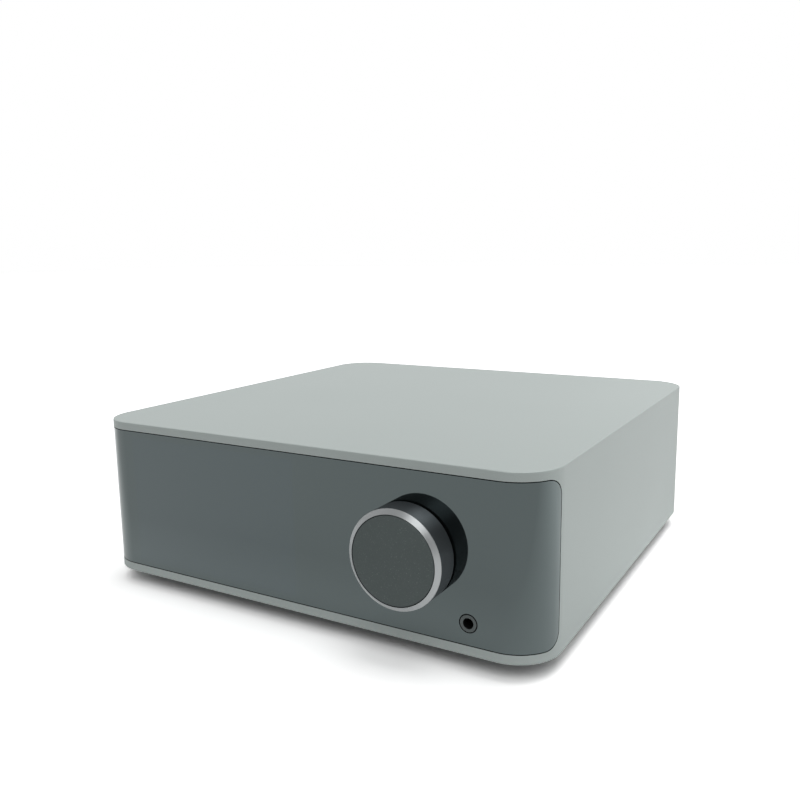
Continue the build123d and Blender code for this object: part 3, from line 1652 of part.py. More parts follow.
# Processor, converter chips, terminal block and cable connectors
with BuildPart() as board_components:
    for x, y, size, height in (
        (heatsink_x, heatsink_y, processor_size, processor_height),
        (converter_x, converter_y, chip_size, chip_height),
        (converter_x + 2 * chip_size, converter_y, small_chip_size, chip_height),
        (converter_x - 2 * chip_size, converter_y, small_chip_size, chip_height),
    ):
        box_between(
            (x - size / 2, x + size / 2), (y - size / 2, y + size / 2), (board_top, board_top + height)
        )
    box_between(
        (inlet_x - lead_terminal_width / 2, inlet_x + lead_terminal_width / 2),
        (lead_board_y - lead_terminal_depth / 2, lead_board_y + lead_terminal_depth / 2),
        (board_top, terminal_top),
    )
    box_between(
        (cable_x - connector_width / 2, cable_x + connector_width / 2),
        (cable_back, cable_back + connector_depth),
        (board_top, board_top + connector_height),
    )
    box_between(
        (cable_x - connector_width / 2, cable_x + connector_width / 2),
        (front_board_back, cable_front),
        (cable_high_z - connector_depth / 2, cable_high_z + connector_depth / 2),
    )
board_components.part.label = "board_components"
export_step(board_components.part, "parts/board_components.step")
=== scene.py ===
"""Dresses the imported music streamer: covers, glass, knob, sockets, finishes and a studio."""

import json
import math

import bpy
from bpy.props import FloatProperty, FloatVectorProperty, IntProperty, PointerProperty
from mathutils import Matrix, Vector


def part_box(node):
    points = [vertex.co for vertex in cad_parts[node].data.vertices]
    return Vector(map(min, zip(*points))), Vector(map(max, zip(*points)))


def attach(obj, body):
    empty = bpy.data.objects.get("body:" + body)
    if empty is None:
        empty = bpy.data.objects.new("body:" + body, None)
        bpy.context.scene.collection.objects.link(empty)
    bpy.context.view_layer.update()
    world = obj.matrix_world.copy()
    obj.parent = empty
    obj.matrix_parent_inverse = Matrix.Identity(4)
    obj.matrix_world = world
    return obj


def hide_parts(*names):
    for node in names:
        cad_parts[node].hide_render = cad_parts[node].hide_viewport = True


bl_info = {
    "name": "Music streamer looks",
    "version": (1, 0, 0),
    "blender": (4, 5, 0),
    "location": "View3D > Sidebar > Streamer",
    "description": "Models and finishes the visible pieces of a network music streamer",
    "category": "Object",
}

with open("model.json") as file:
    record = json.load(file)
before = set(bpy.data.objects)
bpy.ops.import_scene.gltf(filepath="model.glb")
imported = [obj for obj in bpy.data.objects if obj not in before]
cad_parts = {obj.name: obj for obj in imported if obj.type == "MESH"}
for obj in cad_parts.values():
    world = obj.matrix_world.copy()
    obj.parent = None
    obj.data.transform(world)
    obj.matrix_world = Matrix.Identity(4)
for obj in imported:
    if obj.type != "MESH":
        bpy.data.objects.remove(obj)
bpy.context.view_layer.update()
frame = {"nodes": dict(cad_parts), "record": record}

MM = 0.001
# How far a cutter reaches past the piece that it cuts
OVERRUN = 1 * MM
# Points closer together than this become one
MERGE_DISTANCE = 0.001 * MM
# Edges that turn by more than this stay sharp
SHARP_ANGLE = math.radians(35)
# Facets round each corner of the front opening and of the glass in it
OPENING_STEPS = 16


# Sizes and colours that a user would change

class CaseSettings(bpy.types.PropertyGroup):
    """Sizes of the case, of the glass in its front and of its feet."""

    corner_radius: FloatProperty(
        name="Corner radius", description="Radius of the case's upright corners",
        default=17 * MM, unit="LENGTH",
    )
    wall: FloatProperty(
        name="Wall", description="Thickness of the case's walls",
        default=2.5 * MM, unit="LENGTH",
    )
    top_thickness: FloatProperty(
        name="Top thickness", description="Thickness of the case's top",
        default=3.3 * MM, unit="LENGTH",
    )
    lip_height: FloatProperty(
        name="Lower lip", description="Height of the lip under the glass",
        default=3.4 * MM, unit="LENGTH",
    )
    wrap: FloatProperty(
        name="Wrap", description="How far the opening runs back along the sides",
        default=14.6 * MM, unit="LENGTH",
    )
    opening_radius: FloatProperty(
        name="Opening radius", description="Corner radius of the opening in side view",
        default=6.4 * MM, unit="LENGTH",
    )
    glass_gap: FloatProperty(
        name="Glass gap", description="Gap all round the glass",
        default=0.34 * MM, unit="LENGTH",
    )
    glass_thickness: FloatProperty(
        name="Glass thickness", description="Thickness of the glass",
        default=1.5 * MM, unit="LENGTH",
    )
    knob_hole: FloatProperty(
        name="Knob hole", description="Radius of the glass's hole behind the knob",
        default=7.3 * MM, unit="LENGTH",
    )
    collar_gap: FloatProperty(
        name="Collar gap", description="Gap between the glass and the headphone collar",
        default=0.3 * MM, unit="LENGTH",
    )
    edge: FloatProperty(
        name="Edge", description="Width of the broken edge round the top",
        default=0.45 * MM, unit="LENGTH",
    )
    fine_edge: FloatProperty(
        name="Fine edge", description="Width of the broken edges beside the glass",
        default=0.07 * MM, unit="LENGTH",
    )
    corner_steps: IntProperty(
        name="Corner steps", description="Facets round each upright corner", default=40,
    )
    foot_radius: FloatProperty(
        name="Foot radius", description="Radius of each rubber foot",
        default=11 * MM, unit="LENGTH",
    )
    foot_edge: FloatProperty(
        name="Foot edge", description="Radius of the round edge under each foot",
        default=0.8 * MM, unit="LENGTH",
    )


class KnobSettings(bpy.types.PropertyGroup):
    """Sizes of the knob's ring and of the face let into it."""

    groove: FloatProperty(
        name="Groove", description="Distance from the solid's face to the ring",
        default=0.12 * MM, unit="LENGTH",
    )
    bevel_depth: FloatProperty(
        name="Bevel depth", description="How far the bright bevel runs back",
        default=1.26 * MM, unit="LENGTH",
    )
    bevel_width: FloatProperty(
        name="Bevel width", description="How far the bright bevel runs in",
        default=1.79 * MM, unit="LENGTH",
    )
    wall: FloatProperty(
        name="Wall", description="Thickness of the ring behind the face",
        default=2.4 * MM, unit="LENGTH",
    )
    edge: FloatProperty(
        name="Edge", description="Size of the broken edges of the ring and the face",
        default=0.12 * MM, unit="LENGTH",
    )
    face_inset: FloatProperty(
        name="Face inset", description="How much smaller the face is than its solid, all round",
        default=0.08 * MM, unit="LENGTH",
    )
    face_sunk: FloatProperty(
        name="Face sunk", description="How far the face lies behind the front of the ring",
        default=0.02 * MM, unit="LENGTH",
    )


class FinishSettings(bpy.types.PropertyGroup):
    """Colours of the finishes that show most, and how the glass reflects."""

    aluminium: FloatVectorProperty(
        name="Aluminium", description="Blasted and anodised aluminium of the case",
        default=(0.485, 0.54, 0.525), subtype="COLOR",
    )
    glass: FloatVectorProperty(
        name="Glass", description="Black print behind the front glass",
        default=(0.004, 0.0048, 0.005), subtype="COLOR",
    )
    glass_sheen: FloatVectorProperty(
        name="Glass sheen", description="Tint of what the glass reflects",
        default=(0.80, 0.965, 0.97), subtype="COLOR",
    )
    glass_index: FloatProperty(
        name="Glass index", description="Index that sets how strongly the glass reflects",
        default=2.2,
    )
    display: FloatVectorProperty(
        name="Display", description="Unlit display behind the glass",
        default=(0.006, 0.009, 0.017), subtype="COLOR",
    )
    knob_side: FloatVectorProperty(
        name="Knob side", description="Dark anodised side of the knob",
        default=(0.08, 0.091, 0.097), subtype="COLOR",
    )
    knob_face: FloatVectorProperty(
        name="Knob face", description="Dark blasted face of the knob",
        default=(0.095, 0.116, 0.114), subtype="COLOR",
    )
    knob_bevel: FloatVectorProperty(
        name="Knob bevel", description="Bright cut bevel round the knob's face",
        default=(0.46, 0.48, 0.485), subtype="COLOR",
    )


class StageSettings(bpy.types.PropertyGroup):
    """Camera, lights, floor and room."""

    camera_place: FloatVectorProperty(
        name="Camera", description="Where the camera stands",
        default=(0.188226, -0.33765, 0.142563), subtype="TRANSLATION",
    )
    azimuth: FloatProperty(
        name="Azimuth", description="Turn of the view about the upright axis",
        default=math.radians(30.418), subtype="ANGLE",
    )
    elevation: FloatProperty(
        name="Elevation", description="How far the camera looks down",
        default=math.radians(10.264), subtype="ANGLE",
    )
    roll: FloatProperty(
        name="Roll", description="Turn of the view about its own axis",
        default=math.radians(-0.866), subtype="ANGLE",
    )
    lens: FloatProperty(
        name="Lens", description="Focal length in millimetres", default=37.085,
    )
    room_light: FloatProperty(
        name="Room light", description="Strength of the room's even light on the object",
        default=0.23,
    )
    room_front: FloatProperty(
        name="Room front", description="How white reflections see the room in front of the object",
        default=0.4,
    )
    top_light: FloatProperty(
        name="Top light", description="Strength of the soft light overhead", default=0.79,
    )
    back_light: FloatProperty(
        name="Back light", description="Strength of the soft light behind and above", default=0.27,
    )
    front_light: FloatProperty(
        name="Front light", description="Strength of the soft light in front and above",
        default=0.8,
    )
    floor_white: FloatProperty(
        name="Floor white", description="How white the camera sees the floor", default=1.95,
    )
    floor_bounce: FloatProperty(
        name="Floor bounce", description="How white the floor is for the light that it sends on",
        default=0.42,
    )
    floor_near: FloatProperty(
        name="Near floor", description="How white reflections see the floor in front",
        default=1.18,
    )
    floor_far: FloatProperty(
        name="Far floor", description="How white reflections see the floor beside and behind",
        default=2.0,
    )


# Modelling helpers

def deselect_all():
    """Leaves edit mode and deselects every object."""
    if bpy.context.object and bpy.context.object.mode != "OBJECT":
        bpy.ops.object.mode_set(mode="OBJECT")
    bpy.ops.object.select_all(action="DESELECT")


def select_only(piece):
    """Makes one object the selected and active one."""
    deselect_all()
    piece.select_set(True)
    bpy.context.view_layer.objects.active = piece


def settle(piece):
    """Puts the object's place, turn and scale into its mesh."""
    select_only(piece)
    bpy.ops.object.transform_apply(location=True, rotation=True, scale=True)
    return piece


def add_block(name, low, high):
    """Adds a box between two corners."""
    deselect_all()
    low, high = Vector(low), Vector(high)
    bpy.ops.mesh.primitive_cube_add(size=1, location=(low + high) / 2, scale=high - low)
    piece = bpy.context.object
    piece.name = name
    return settle(piece)


def bevel_edges(piece, wanted, width, steps):
    """Rounds the edges whose two ends pass the test."""
    select_only(piece)
    bpy.ops.object.mode_set(mode="EDIT")
    bpy.ops.mesh.select_mode(type="EDGE")
    bpy.ops.mesh.select_all(action="DESELECT")
    bpy.ops.object.mode_set(mode="OBJECT")
    points = [v.co for v in piece.data.vertices]
    for edge in piece.data.edges:
        edge.select = wanted(*(points[i] for i in edge.vertices))
    bpy.ops.object.mode_set(mode="EDIT")
    bpy.ops.mesh.bevel(
        offset=width, offset_type="OFFSET", segments=steps, profile=0.5, affect="EDGES",
    )
    bpy.ops.object.mode_set(mode="OBJECT")


def runs_along(axis, passes=lambda point: True):
    """Test for edges that run along an axis and whose first end passes a further test."""
    def wanted(a, b):
        step = b - a
        return abs(step[axis]) > 0.99 * step.length and passes(a)
    return wanted


def rounded_block(name, low, high, radius, steps, axis=2, passes=lambda point: True):
    """Box whose edges along an axis are rounded."""
    piece = add_block(name, low, high)
    bevel_edges(piece, runs_along(axis, passes), radius, steps)
    return piece


def cut(piece, cutter, operation="DIFFERENCE"):
    """Cuts a piece with another object, which is then deleted."""
    select_only(piece)
    modifier = piece.modifiers.new("cut", "BOOLEAN")
    modifier.operation = operation
    modifier.object = cutter
    modifier.solver = "EXACT"
    bpy.ops.object.modifier_apply(modifier=modifier.name)
    bpy.data.objects.remove(cutter)


def smooth(piece):
    """Shades round faces smooth and keeps flat ones flat."""
    select_only(piece)
    bpy.ops.object.shade_smooth_by_angle(angle=SHARP_ANGLE)
    weights = piece.modifiers.new("weights", "WEIGHTED_NORMAL")
    weights.keep_sharp = True
    bpy.ops.object.modifier_apply(modifier=weights.name)


def break_edges(piece, width):
    """Breaks the sharp edges and evens the shading out."""
    select_only(piece)
    bevel = piece.modifiers.new("edges", "BEVEL")
    bevel.width = width
    bevel.segments = 2
    bevel.limit_method = "ANGLE"
    bevel.angle_limit = SHARP_ANGLE
    bpy.ops.object.modifier_apply(modifier=bevel.name)
    smooth(piece)


def round_front(node):
    """Centre of a round node's front, its radius and its depth along Y."""
    low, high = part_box(node)
    centre = Vector(((low.x + high.x) / 2, low.y, (low.z + high.z) / 2))
    return centre, (high.x - low.x) / 2, high.y - low.y


def turned(name, centre, profile, facing=-1, steps=192):
    """Turns a closed profile of (radius, depth) points about Y; depth runs back from the centre."""
    deselect_all()
    radius, depth = profile[0]
    bpy.ops.mesh.primitive_circle_add(vertices=steps, radius=radius, location=(0, 0, depth))
    piece = bpy.context.object
    piece.name = name
    settle(piece)
    bpy.ops.object.mode_set(mode="EDIT")
    bpy.ops.mesh.select_mode(type="EDGE")
    bpy.ops.mesh.select_all(action="SELECT")
    for next_radius, next_depth in profile[1:]:
        step = (0, 0, next_depth - depth)
        bpy.ops.mesh.extrude_edges_move(TRANSFORM_OT_translate={"value": step})
        share = next_radius / radius
        bpy.ops.transform.resize(value=(share, share, 1), center_override=(0, 0, 0))
        radius, depth = next_radius, next_depth
    bpy.ops.mesh.select_all(action="SELECT")
    bpy.ops.mesh.remove_doubles(threshold=MERGE_DISTANCE)
    bpy.ops.mesh.fill_holes(sides=0)
    bpy.ops.mesh.normals_make_consistent(inside=False)
    bpy.ops.object.mode_set(mode="OBJECT")
    piece.rotation_euler = (math.radians(90) * facing, 0, 0)
    settle(piece)
    piece.location = centre
    return settle(piece)


def arc(radius, depth, size, start, end, count=5):
    """Points of a profile's round corner, by its centre, size and two angles in degrees."""
    angles = [math.radians(start + (end - start) * i / count) for i in range(count + 1)]
    return [(radius + size * math.cos(a), depth + size * math.sin(a)) for a in angles]


def copies(piece, shifts):
    """Puts a copy of a piece at each shift and joins the copies into one piece."""
    made = []
    for shift in shifts:
        copy = piece.copy()
        copy.data = piece.data.copy()
        bpy.context.scene.collection.objects.link(copy)
        copy.location = shift
        made.append(settle(copy))
    name = piece.name
    bpy.data.objects.remove(piece)
    deselect_all()
    for copy in made:
        copy.select_set(True)
    bpy.context.view_layer.objects.active = made[0]
    bpy.ops.object.join()
    joined = bpy.context.object
    joined.name = name
    return joined


def mount(piece, body, slot, material, *nodes):
    """Gives a piece its material and its body, and hides the nodes that it stands for. The slot is
    not used.
    """
    piece.data.materials.clear()
    piece.data.materials.append(material)
    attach(piece, body)
    if nodes:
        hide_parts(*nodes)


# Node helpers

def set_or_link(tree, value, socket):
    """Links an output to a socket, or sets the socket to a number or a colour."""
    if isinstance(value, bpy.types.NodeSocket):
        tree.links.new(value, socket)
    else:
        socket.default_value = value


def math_node(tree, operation, *values):
    """Adds a Math node fed by sockets or numbers and returns its output."""
    node = tree.nodes.new("ShaderNodeMath")
    node.operation = operation
    for value, socket in zip(values, node.inputs):
        set_or_link(tree, value, socket)
    return node.outputs[0]


def mix_colours(tree, factor, first, second):
    """Mixes two colours, each a socket or four numbers, and returns the result."""
    mix = tree.nodes.new("ShaderNodeMix")
    mix.data_type = "RGBA"
    tree.links.new(factor, mix.inputs["Factor"])
    set_or_link(tree, first, mix.inputs["A"])
    set_or_link(tree, second, mix.inputs["B"])
    return mix.outputs["Result"]


def pick(tree, ray, other, wanted):
    """Takes one value for a kind of ray and another value for the rest."""
    mix = tree.nodes.new("ShaderNodeMix")
    tree.links.new(ray, mix.inputs["Factor"])
    set_or_link(tree, other, mix.inputs["A"])
    set_or_link(tree, wanted, mix.inputs["B"])
    return mix.outputs["Result"]


def map_range(tree, source, source_range, wanted_range):
    """Maps a value from one range to another and returns the result."""
    node = tree.nodes.new("ShaderNodeMapRange")
    labels = ("From Min", "From Max", "To Min", "To Max")
    for label, value in zip(labels, (*source_range, *wanted_range)):
        node.inputs[label].default_value = value
    tree.links.new(source, node.inputs["Value"])
    return node.outputs[0]


def coordinates(tree, kind="Object"):
    """Texture coordinates split into X, Y and Z."""
    place = tree.nodes.new("ShaderNodeTexCoord")
    split = tree.nodes.new("ShaderNodeSeparateXYZ")
    tree.links.new(place.outputs[kind], split.inputs[0])
    return split.outputs


# Shared effects, as node groups

def group_of(name, inputs, outputs):
    """Starts a node group with float inputs, as name and default, and named float outputs."""
    group = bpy.data.node_groups.new(name, "ShaderNodeTree")
    for label, default in inputs.items():
        socket = group.interface.new_socket(label, in_out="INPUT", socket_type="NodeSocketFloat")
        socket.default_value = default
    for label in outputs:
        group.interface.new_socket(label, in_out="OUTPUT", socket_type="NodeSocketFloat")
    return group, group.nodes.new("NodeGroupInput"), group.nodes.new("NodeGroupOutput")


def surface_grain():
    """Grain of a blasted, moulded or cast surface: a fine and a broad value, both about zero."""
    group, given, result = group_of(
        "surface_grain", {"Fine scale": 4000.0, "Broad scale": 20.0}, ("Fine", "Broad"),
    )
    place = group.nodes.new("ShaderNodeTexCoord")
    for label, detail in (("Fine", 3.0), ("Broad", 2.0)):
        noise = group.nodes.new("ShaderNodeTexNoise")
        noise.inputs["Detail"].default_value = detail
        group.links.new(place.outputs["Object"], noise.inputs["Vector"])
        group.links.new(given.outputs[f"{label} scale"], noise.inputs["Scale"])
        centred = math_node(group, "SUBTRACT", noise.outputs["Fac"], 0.5)
        group.links.new(centred, result.inputs[label])
    return group


def turning_rings():
    """Fine rings that a lathe leaves about an axis along Y, as a value about zero."""
    group, given, result = group_of(
        "turning_rings", {"Centre X": 0.0, "Centre Z": 0.0, "Pitch": 0.0002}, ("Value",),
    )
    place = coordinates(group)
    squares = []
    for axis in ("X", "Z"):
        away = math_node(group, "SUBTRACT", place[axis], given.outputs[f"Centre {axis}"])
        squares.append(math_node(group, "POWER", away, 2.0))
    radius = math_node(group, "SQRT", math_node(group, "ADD", *squares))
    # The radius draws rings on a face and Y draws them along a side.
    travel = math_node(group, "ADD", radius, place["Y"])
    noise = group.nodes.new("ShaderNodeTexNoise")
    noise.noise_dimensions = "1D"
    noise.inputs["Scale"].default_value = 1.0
    turns = math_node(group, "DIVIDE", travel, given.outputs["Pitch"])
    group.links.new(turns, noise.inputs["W"])
    centred = math_node(group, "SUBTRACT", noise.outputs["Fac"], 0.5)
    group.links.new(centred, result.inputs["Value"])
    return group


SHARED_EFFECTS = {"surface_grain": surface_grain, "turning_rings": turning_rings}


def add_effect(material, name, **values):
    """Places a shared effect in a material with its own values; its first use builds it."""
    node = material.node_tree.nodes.new("ShaderNodeGroup")
    node.node_tree = bpy.data.node_groups.get(name) or SHARED_EFFECTS[name]()
    for label, value in values.items():
        node.inputs[label.replace("_", " ")].default_value = value
    return node.outputs


# Materials

def new_material(name, metallic=0.0):
    """Node material with one Principled shader."""
    material = bpy.data.materials.new(name)
    material.use_nodes = True
    shader = material.node_tree.nodes["Principled BSDF"]
    shader.inputs["Metallic"].default_value = metallic
    return material, shader


def shade_colour(material, shader, colour, source, amount):
    """Makes the base colour a little darker and lighter by a centred value."""
    tree = material.node_tree
    dark = (*[c * (1 - amount) for c in colour], 1)
    light = (*[min(c * (1 + amount), 1) for c in colour], 1)
    shaded = mix_colours(tree, math_node(tree, "ADD", source, 0.5), dark, light)
    tree.links.new(shaded, shader.inputs["Base Color"])
    return shaded


def vary_roughness(material, shader, source, low, high):
    """Lets a centred value move the roughness between two limits."""
    tree = material.node_tree
    varied = map_range(tree, source, (-0.5, 0.5), (low, high))
    tree.links.new(varied, shader.inputs["Roughness"])


def feed_bump(material, shader, source, distance):
    """Relief from a centred value, over a distance in metres."""
    bump = material.node_tree.nodes.new("ShaderNodeBump")
    bump.inputs["Strength"].default_value = 1.0
    bump.inputs["Distance"].default_value = distance
    material.node_tree.links.new(source, bump.inputs["Height"])
    material.node_tree.links.new(bump.outputs[0], shader.inputs["Normal"])


def grained(name, colour, metallic, roughness, fine=4000.0, depth=0.004 * MM, amount=0.06):
    """Material with a fine grain in colour, roughness and relief."""
    material, shader = new_material(name, metallic)
    grain = add_effect(material, "surface_grain", Fine_scale=fine, Broad_scale=25.0)
    shade_colour(material, shader, colour, grain["Fine"], amount)
    vary_roughness(material, shader, grain["Broad"], roughness * 0.9, roughness * 1.1)
    feed_bump(material, shader, grain["Fine"], depth)
    return material


def painted_shade_black(name):
    """Black that takes the light and sends almost none back, used as painted shade in narrow gaps.
    """
    material = grained(name, (0.006, 0.0065, 0.0065), metallic=0.0, roughness=0.8)
    shader = material.node_tree.nodes["Principled BSDF"]
    shader.inputs["Specular IOR Level"].default_value = 0.05
    return material


def case_material(finish):
    """Fine bead-blasted aluminium with a clear anodised skin."""
    material, shader = new_material("blasted_aluminium", metallic=0.3)
    grain = add_effect(material, "surface_grain", Fine_scale=3200.0, Broad_scale=9.0)
    shade_colour(material, shader, finish.aluminium, grain["Fine"], amount=0.05)
    vary_roughness(material, shader, grain["Broad"], 0.46, 0.56)
    feed_bump(material, shader, grain["Fine"], 0.003 * MM)
    return material


def glass_material(finish):
    """Polished black glass with the faint window of the display behind it."""
    material, shader = new_material("black_glass")
    shader.inputs["IOR"].default_value = finish.glass_index
    shader.inputs["Specular Tint"].default_value = (*finish.glass_sheen, 1)
    tree = material.node_tree
    place = coordinates(tree)
    low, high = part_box("display_panel")
    window = 1.0
    for axis, label in ((0, "X"), (2, "Z")):
        after = math_node(tree, "GREATER_THAN", place[label], low[axis])
        before = math_node(tree, "LESS_THAN", place[label], high[axis])
        between = math_node(tree, "MULTIPLY", after, before)
        window = math_node(tree, "MULTIPLY", between, window)
    shown = mix_colours(tree, window, (*finish.glass, 1), (*finish.display, 1))
    tree.links.new(shown, shader.inputs["Base Color"])
    grain = add_effect(material, "surface_grain", Fine_scale=60.0, Broad_scale=12.0)
    vary_roughness(material, shader, grain["Broad"], 0.03, 0.06)
    return material


def turned_material(name, colour, roughness, pitch, drawn_out):
    """Metal turned about the knob's axis, with highlights drawn out across its rings."""
    centre, _, _ = round_front("knob_shell")
    material, shader = new_material(name, metallic=1.0)
    rings = add_effect(
        material, "turning_rings", Centre_X=centre.x, Centre_Z=centre.z, Pitch=pitch,
    )
    shade_colour(material, shader, colour, rings["Value"], amount=0.12)
    vary_roughness(material, shader, rings["Value"], roughness * 0.85, roughness * 1.15)
    feed_bump(material, shader, rings["Value"], 0.002 * MM)
    shader.inputs["Anisotropic"].default_value = drawn_out
    shader.inputs["Anisotropic Rotation"].default_value = 0.25
    tangent = material.node_tree.nodes.new("ShaderNodeTangent")
    tangent.direction_type = "RADIAL"
    tangent.axis = "Y"
    material.node_tree.links.new(tangent.outputs[0], shader.inputs["Tangent"])
    return material


def face_material(finish):
    """Dark blasted face with bright specks where the beads cut through the colour."""
    material, shader = new_material("blasted_dark_metal", metallic=0.5)
    grain = add_effect(material, "surface_grain", Fine_scale=2600.0, Broad_scale=40.0)
    shaded = shade_colour(material, shader, finish.knob_face, grain["Fine"], amount=0.12)
    tree = material.node_tree
    specks = math_node(tree, "GREATER_THAN", grain["Fine"], 0.17)
    bright = (*[c * 1.7 for c in finish.knob_face], 1)
    tree.links.new(mix_colours(tree, specks, shaded, bright), shader.inputs["Base Color"])
    vary_roughness(material, shader, grain["Broad"], 0.45, 0.58)
    feed_bump(material, shader, grain["Fine"], 0.004 * MM)
    return material


# Pieces

class STREAMER_OT_case_cover(bpy.types.Operator):
    """Models the case: a rounded block, hollowed out and opened at the front, the back and below"""

    bl_idname = "streamer.case_cover"
    bl_label = "Case cover"

    def execute(self, context):
        size = context.scene.streamer_case
        low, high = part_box("case_shell")
        cover = rounded_block("case_cover", low, high, size.corner_radius, size.corner_steps)
        bevel_edges(
            cover, lambda a, b: min(a.z, b.z) > high.z - MERGE_DISTANCE, size.edge, steps=4,
        )
        cavity_top = high.z - size.top_thickness
        self.hollow_out(cover, size, low, high, cavity_top)
        cut(cover, rounded_block(
            "opening", (low.x - OVERRUN, low.y - OVERRUN, low.z + size.lip_height),
            (high.x + OVERRUN, low.y + size.wrap, cavity_top),
            size.opening_radius, OPENING_STEPS, axis=0, passes=lambda point: point.y > low.y,
        ))
        self.open_back(cover)
        break_edges(cover, size.fine_edge)
        material = case_material(context.scene.streamer_finish)
        mount(cover, "case", "case_aluminium", material, "case_shell")
        self.paint_reveal_shade(cover, size, low.y + size.wrap, low.z + size.lip_height, cavity_top)
        return {"FINISHED"}

    def hollow_out(self, cover, size, low, high, top):
        """Leaves the walls and the top, and opens the case below."""
        wall = Vector((size.wall, size.wall, 0))
        cut(cover, rounded_block(
            "cavity", low + wall - Vector((0, 0, OVERRUN)), Vector((*(high - wall).xy, top)),
            size.corner_radius - size.wall, size.corner_steps,
        ))

    def open_back(self, cover):
        """Cuts the opening that the rear panel stands in, with a narrow gap round it."""
        gap = 0.2 * MM
        low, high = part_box("rear_panel")
        margin = Vector((gap, 0, gap))
        cut(cover, rounded_block(
            "rear_opening", low - margin - Vector((0, OVERRUN, 0)),
            high + margin + Vector((0, 2 * OVERRUN, 0)), radius=3 * MM, steps=8, axis=1,
        ))

    def paint_reveal_shade(self, cover, size, back, bottom, top):
        """Paints the cut faces and the broken edge of the front opening black, as painted shade in
        the gap round the glass.

        The opening ends at the given back, bottom and top, so its round corners have their
        centres one radius inside them."""
        # Painted shade: the reveal round the glass is black so that the gap line reads dark.
        cover.data.materials.append(painted_shade_black("opening_black"))
        radius = size.opening_radius
        for face in cover.data.polygons:
            place = face.center
            beyond = max(place.y - back + radius, 0)
            above = max(bottom + radius - place.z, place.z - top + radius, 0)
            faces_back = abs(face.normal.x) < 0.05
            faces_up_or_down = abs(face.normal.z) > 0.3
            near = math.hypot(beyond, above) < radius + size.fine_edge
            if near and (faces_back or faces_up_or_down):
                face.material_index = 1


class STREAMER_OT_front_glass(bpy.types.Operator):
    """Models the glass that wraps both front corners, with its two holes and polished edges"""

    bl_idname = "streamer.front_glass"
    bl_label = "Front glass"

    def execute(self, context):
        size = context.scene.streamer_case
        low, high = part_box("case_shell")
        bottom = low.z + size.lip_height + size.glass_gap
        top = high.z - size.top_thickness - size.glass_gap
        inset = Vector((size.glass_thickness, size.glass_thickness, -OVERRUN))
        glass = rounded_block("wrapped_glass", low, high, size.corner_radius, size.corner_steps)
        cut(glass, rounded_block(
            "glass_back", low + inset, high - inset,
            size.corner_radius - size.glass_thickness, size.corner_steps,
        ))
        cut(glass, rounded_block(
            "glass_outline", (low.x - OVERRUN, low.y - OVERRUN, bottom),
            (high.x + OVERRUN, low.y + size.wrap - size.glass_gap, top),
            size.opening_radius - size.glass_gap, OPENING_STEPS,
            axis=0, passes=lambda point: point.y > low.y,
        ), "INTERSECT")
        knob_centre, _, _ = round_front("knob_shell")
        collar_centre, collar_radius, _ = round_front("headphone_collar")
        self.drill(glass, knob_centre, low.y, size.knob_hole)
        self.drill(glass, collar_centre, low.y, collar_radius + size.collar_gap)
        break_edges(glass, size.fine_edge)
        material = glass_material(context.scene.streamer_finish)
        mount(glass, "case", "front_glass", material, "front_glass")
        return {"FINISHED"}

    def drill(self, glass, centre, front, radius):
        """Cuts a round hole through the glass."""
        deselect_all()
        bpy.ops.mesh.primitive_cylinder_add(
            vertices=96, radius=radius, depth=8 * MM,
            location=(centre.x, front, centre.z), rotation=(math.radians(90), 0, 0),
        )
        cut(glass, settle(bpy.context.object))


class STREAMER_OT_knob(bpy.types.Operator):
    """Models the knob's ring, with its bright cut bevel, and the face let into it"""

    bl_idname = "streamer.knob"
    bl_label = "Knob"

    def execute(self, context):
        size, finish = context.scene.streamer_knob, context.scene.streamer_finish
        self.add_ring(size, finish)
        self.add_face(size, finish)
        return {"FINISHED"}

    def add_ring(self, size, finish):
        """Ring turned from dark metal, with a bright bevel cut round its front."""
        centre, radius, depth = round_front("knob_shell")
        _, face_radius, face_depth = round_front("knob_face")
        edge = size.edge
        corner = 3 * edge
        seat = face_radius + size.groove
        profile = [
            (seat, face_depth),
            (seat, edge / 2),
            (seat + edge / 2, 0),
            (radius - size.bevel_width - edge / 2, 0),
            (radius - size.bevel_width, edge / 4),
            (radius - edge / 2, size.bevel_depth - edge / 2),
            (radius, size.bevel_depth + edge),
            (radius, depth - corner),
            *arc(radius - corner, depth - corner, corner, 0, 90)[1:],
            (radius - size.wall, depth),
            (radius - size.wall, face_depth),
            (seat, face_depth),
        ]
        ring = turned("knob_ring", centre, profile)
        smooth(ring)
        side = turned_material(
            "knob_anodised", finish.knob_side, roughness=0.45, pitch=0.12 * MM, drawn_out=0.95,
        )
        bevel = turned_material(
            "knob_cut_bevel", finish.knob_bevel, roughness=0.4, pitch=0.05 * MM, drawn_out=0.8,
        )
        mount(ring, "knob", "knob_metal", side, "knob_shell")
        ring.data.materials.append(bevel)
        bevel_back = size.bevel_depth + edge / 2
        bevel_inside = radius - size.bevel_width - edge / 4
        for face in ring.data.polygons:
            back = face.center.y - centre.y
            out = math.hypot(face.center.x - centre.x, face.center.z - centre.z)
            if back < bevel_back and out > bevel_inside:
                face.material_index = 1

    def add_face(self, size, finish):
        """Face with a broken edge, a hair behind the front of the ring."""
        centre, _, _ = round_front("knob_shell")
        _, radius, depth = round_front("knob_face")
        edge, front = size.edge, size.face_sunk
        outside = radius - size.face_inset
        pole = radius * 0.02
        profile = [
            (pole, front), (radius * 0.5, front), (outside - edge, front),
            (outside, front + edge), (outside, depth), (pole, depth),
        ]
        cap = turned("knob_cap", centre, profile)
        smooth(cap)
        mount(cap, "knob", "knob_face_metal", face_material(finish), "knob_face")


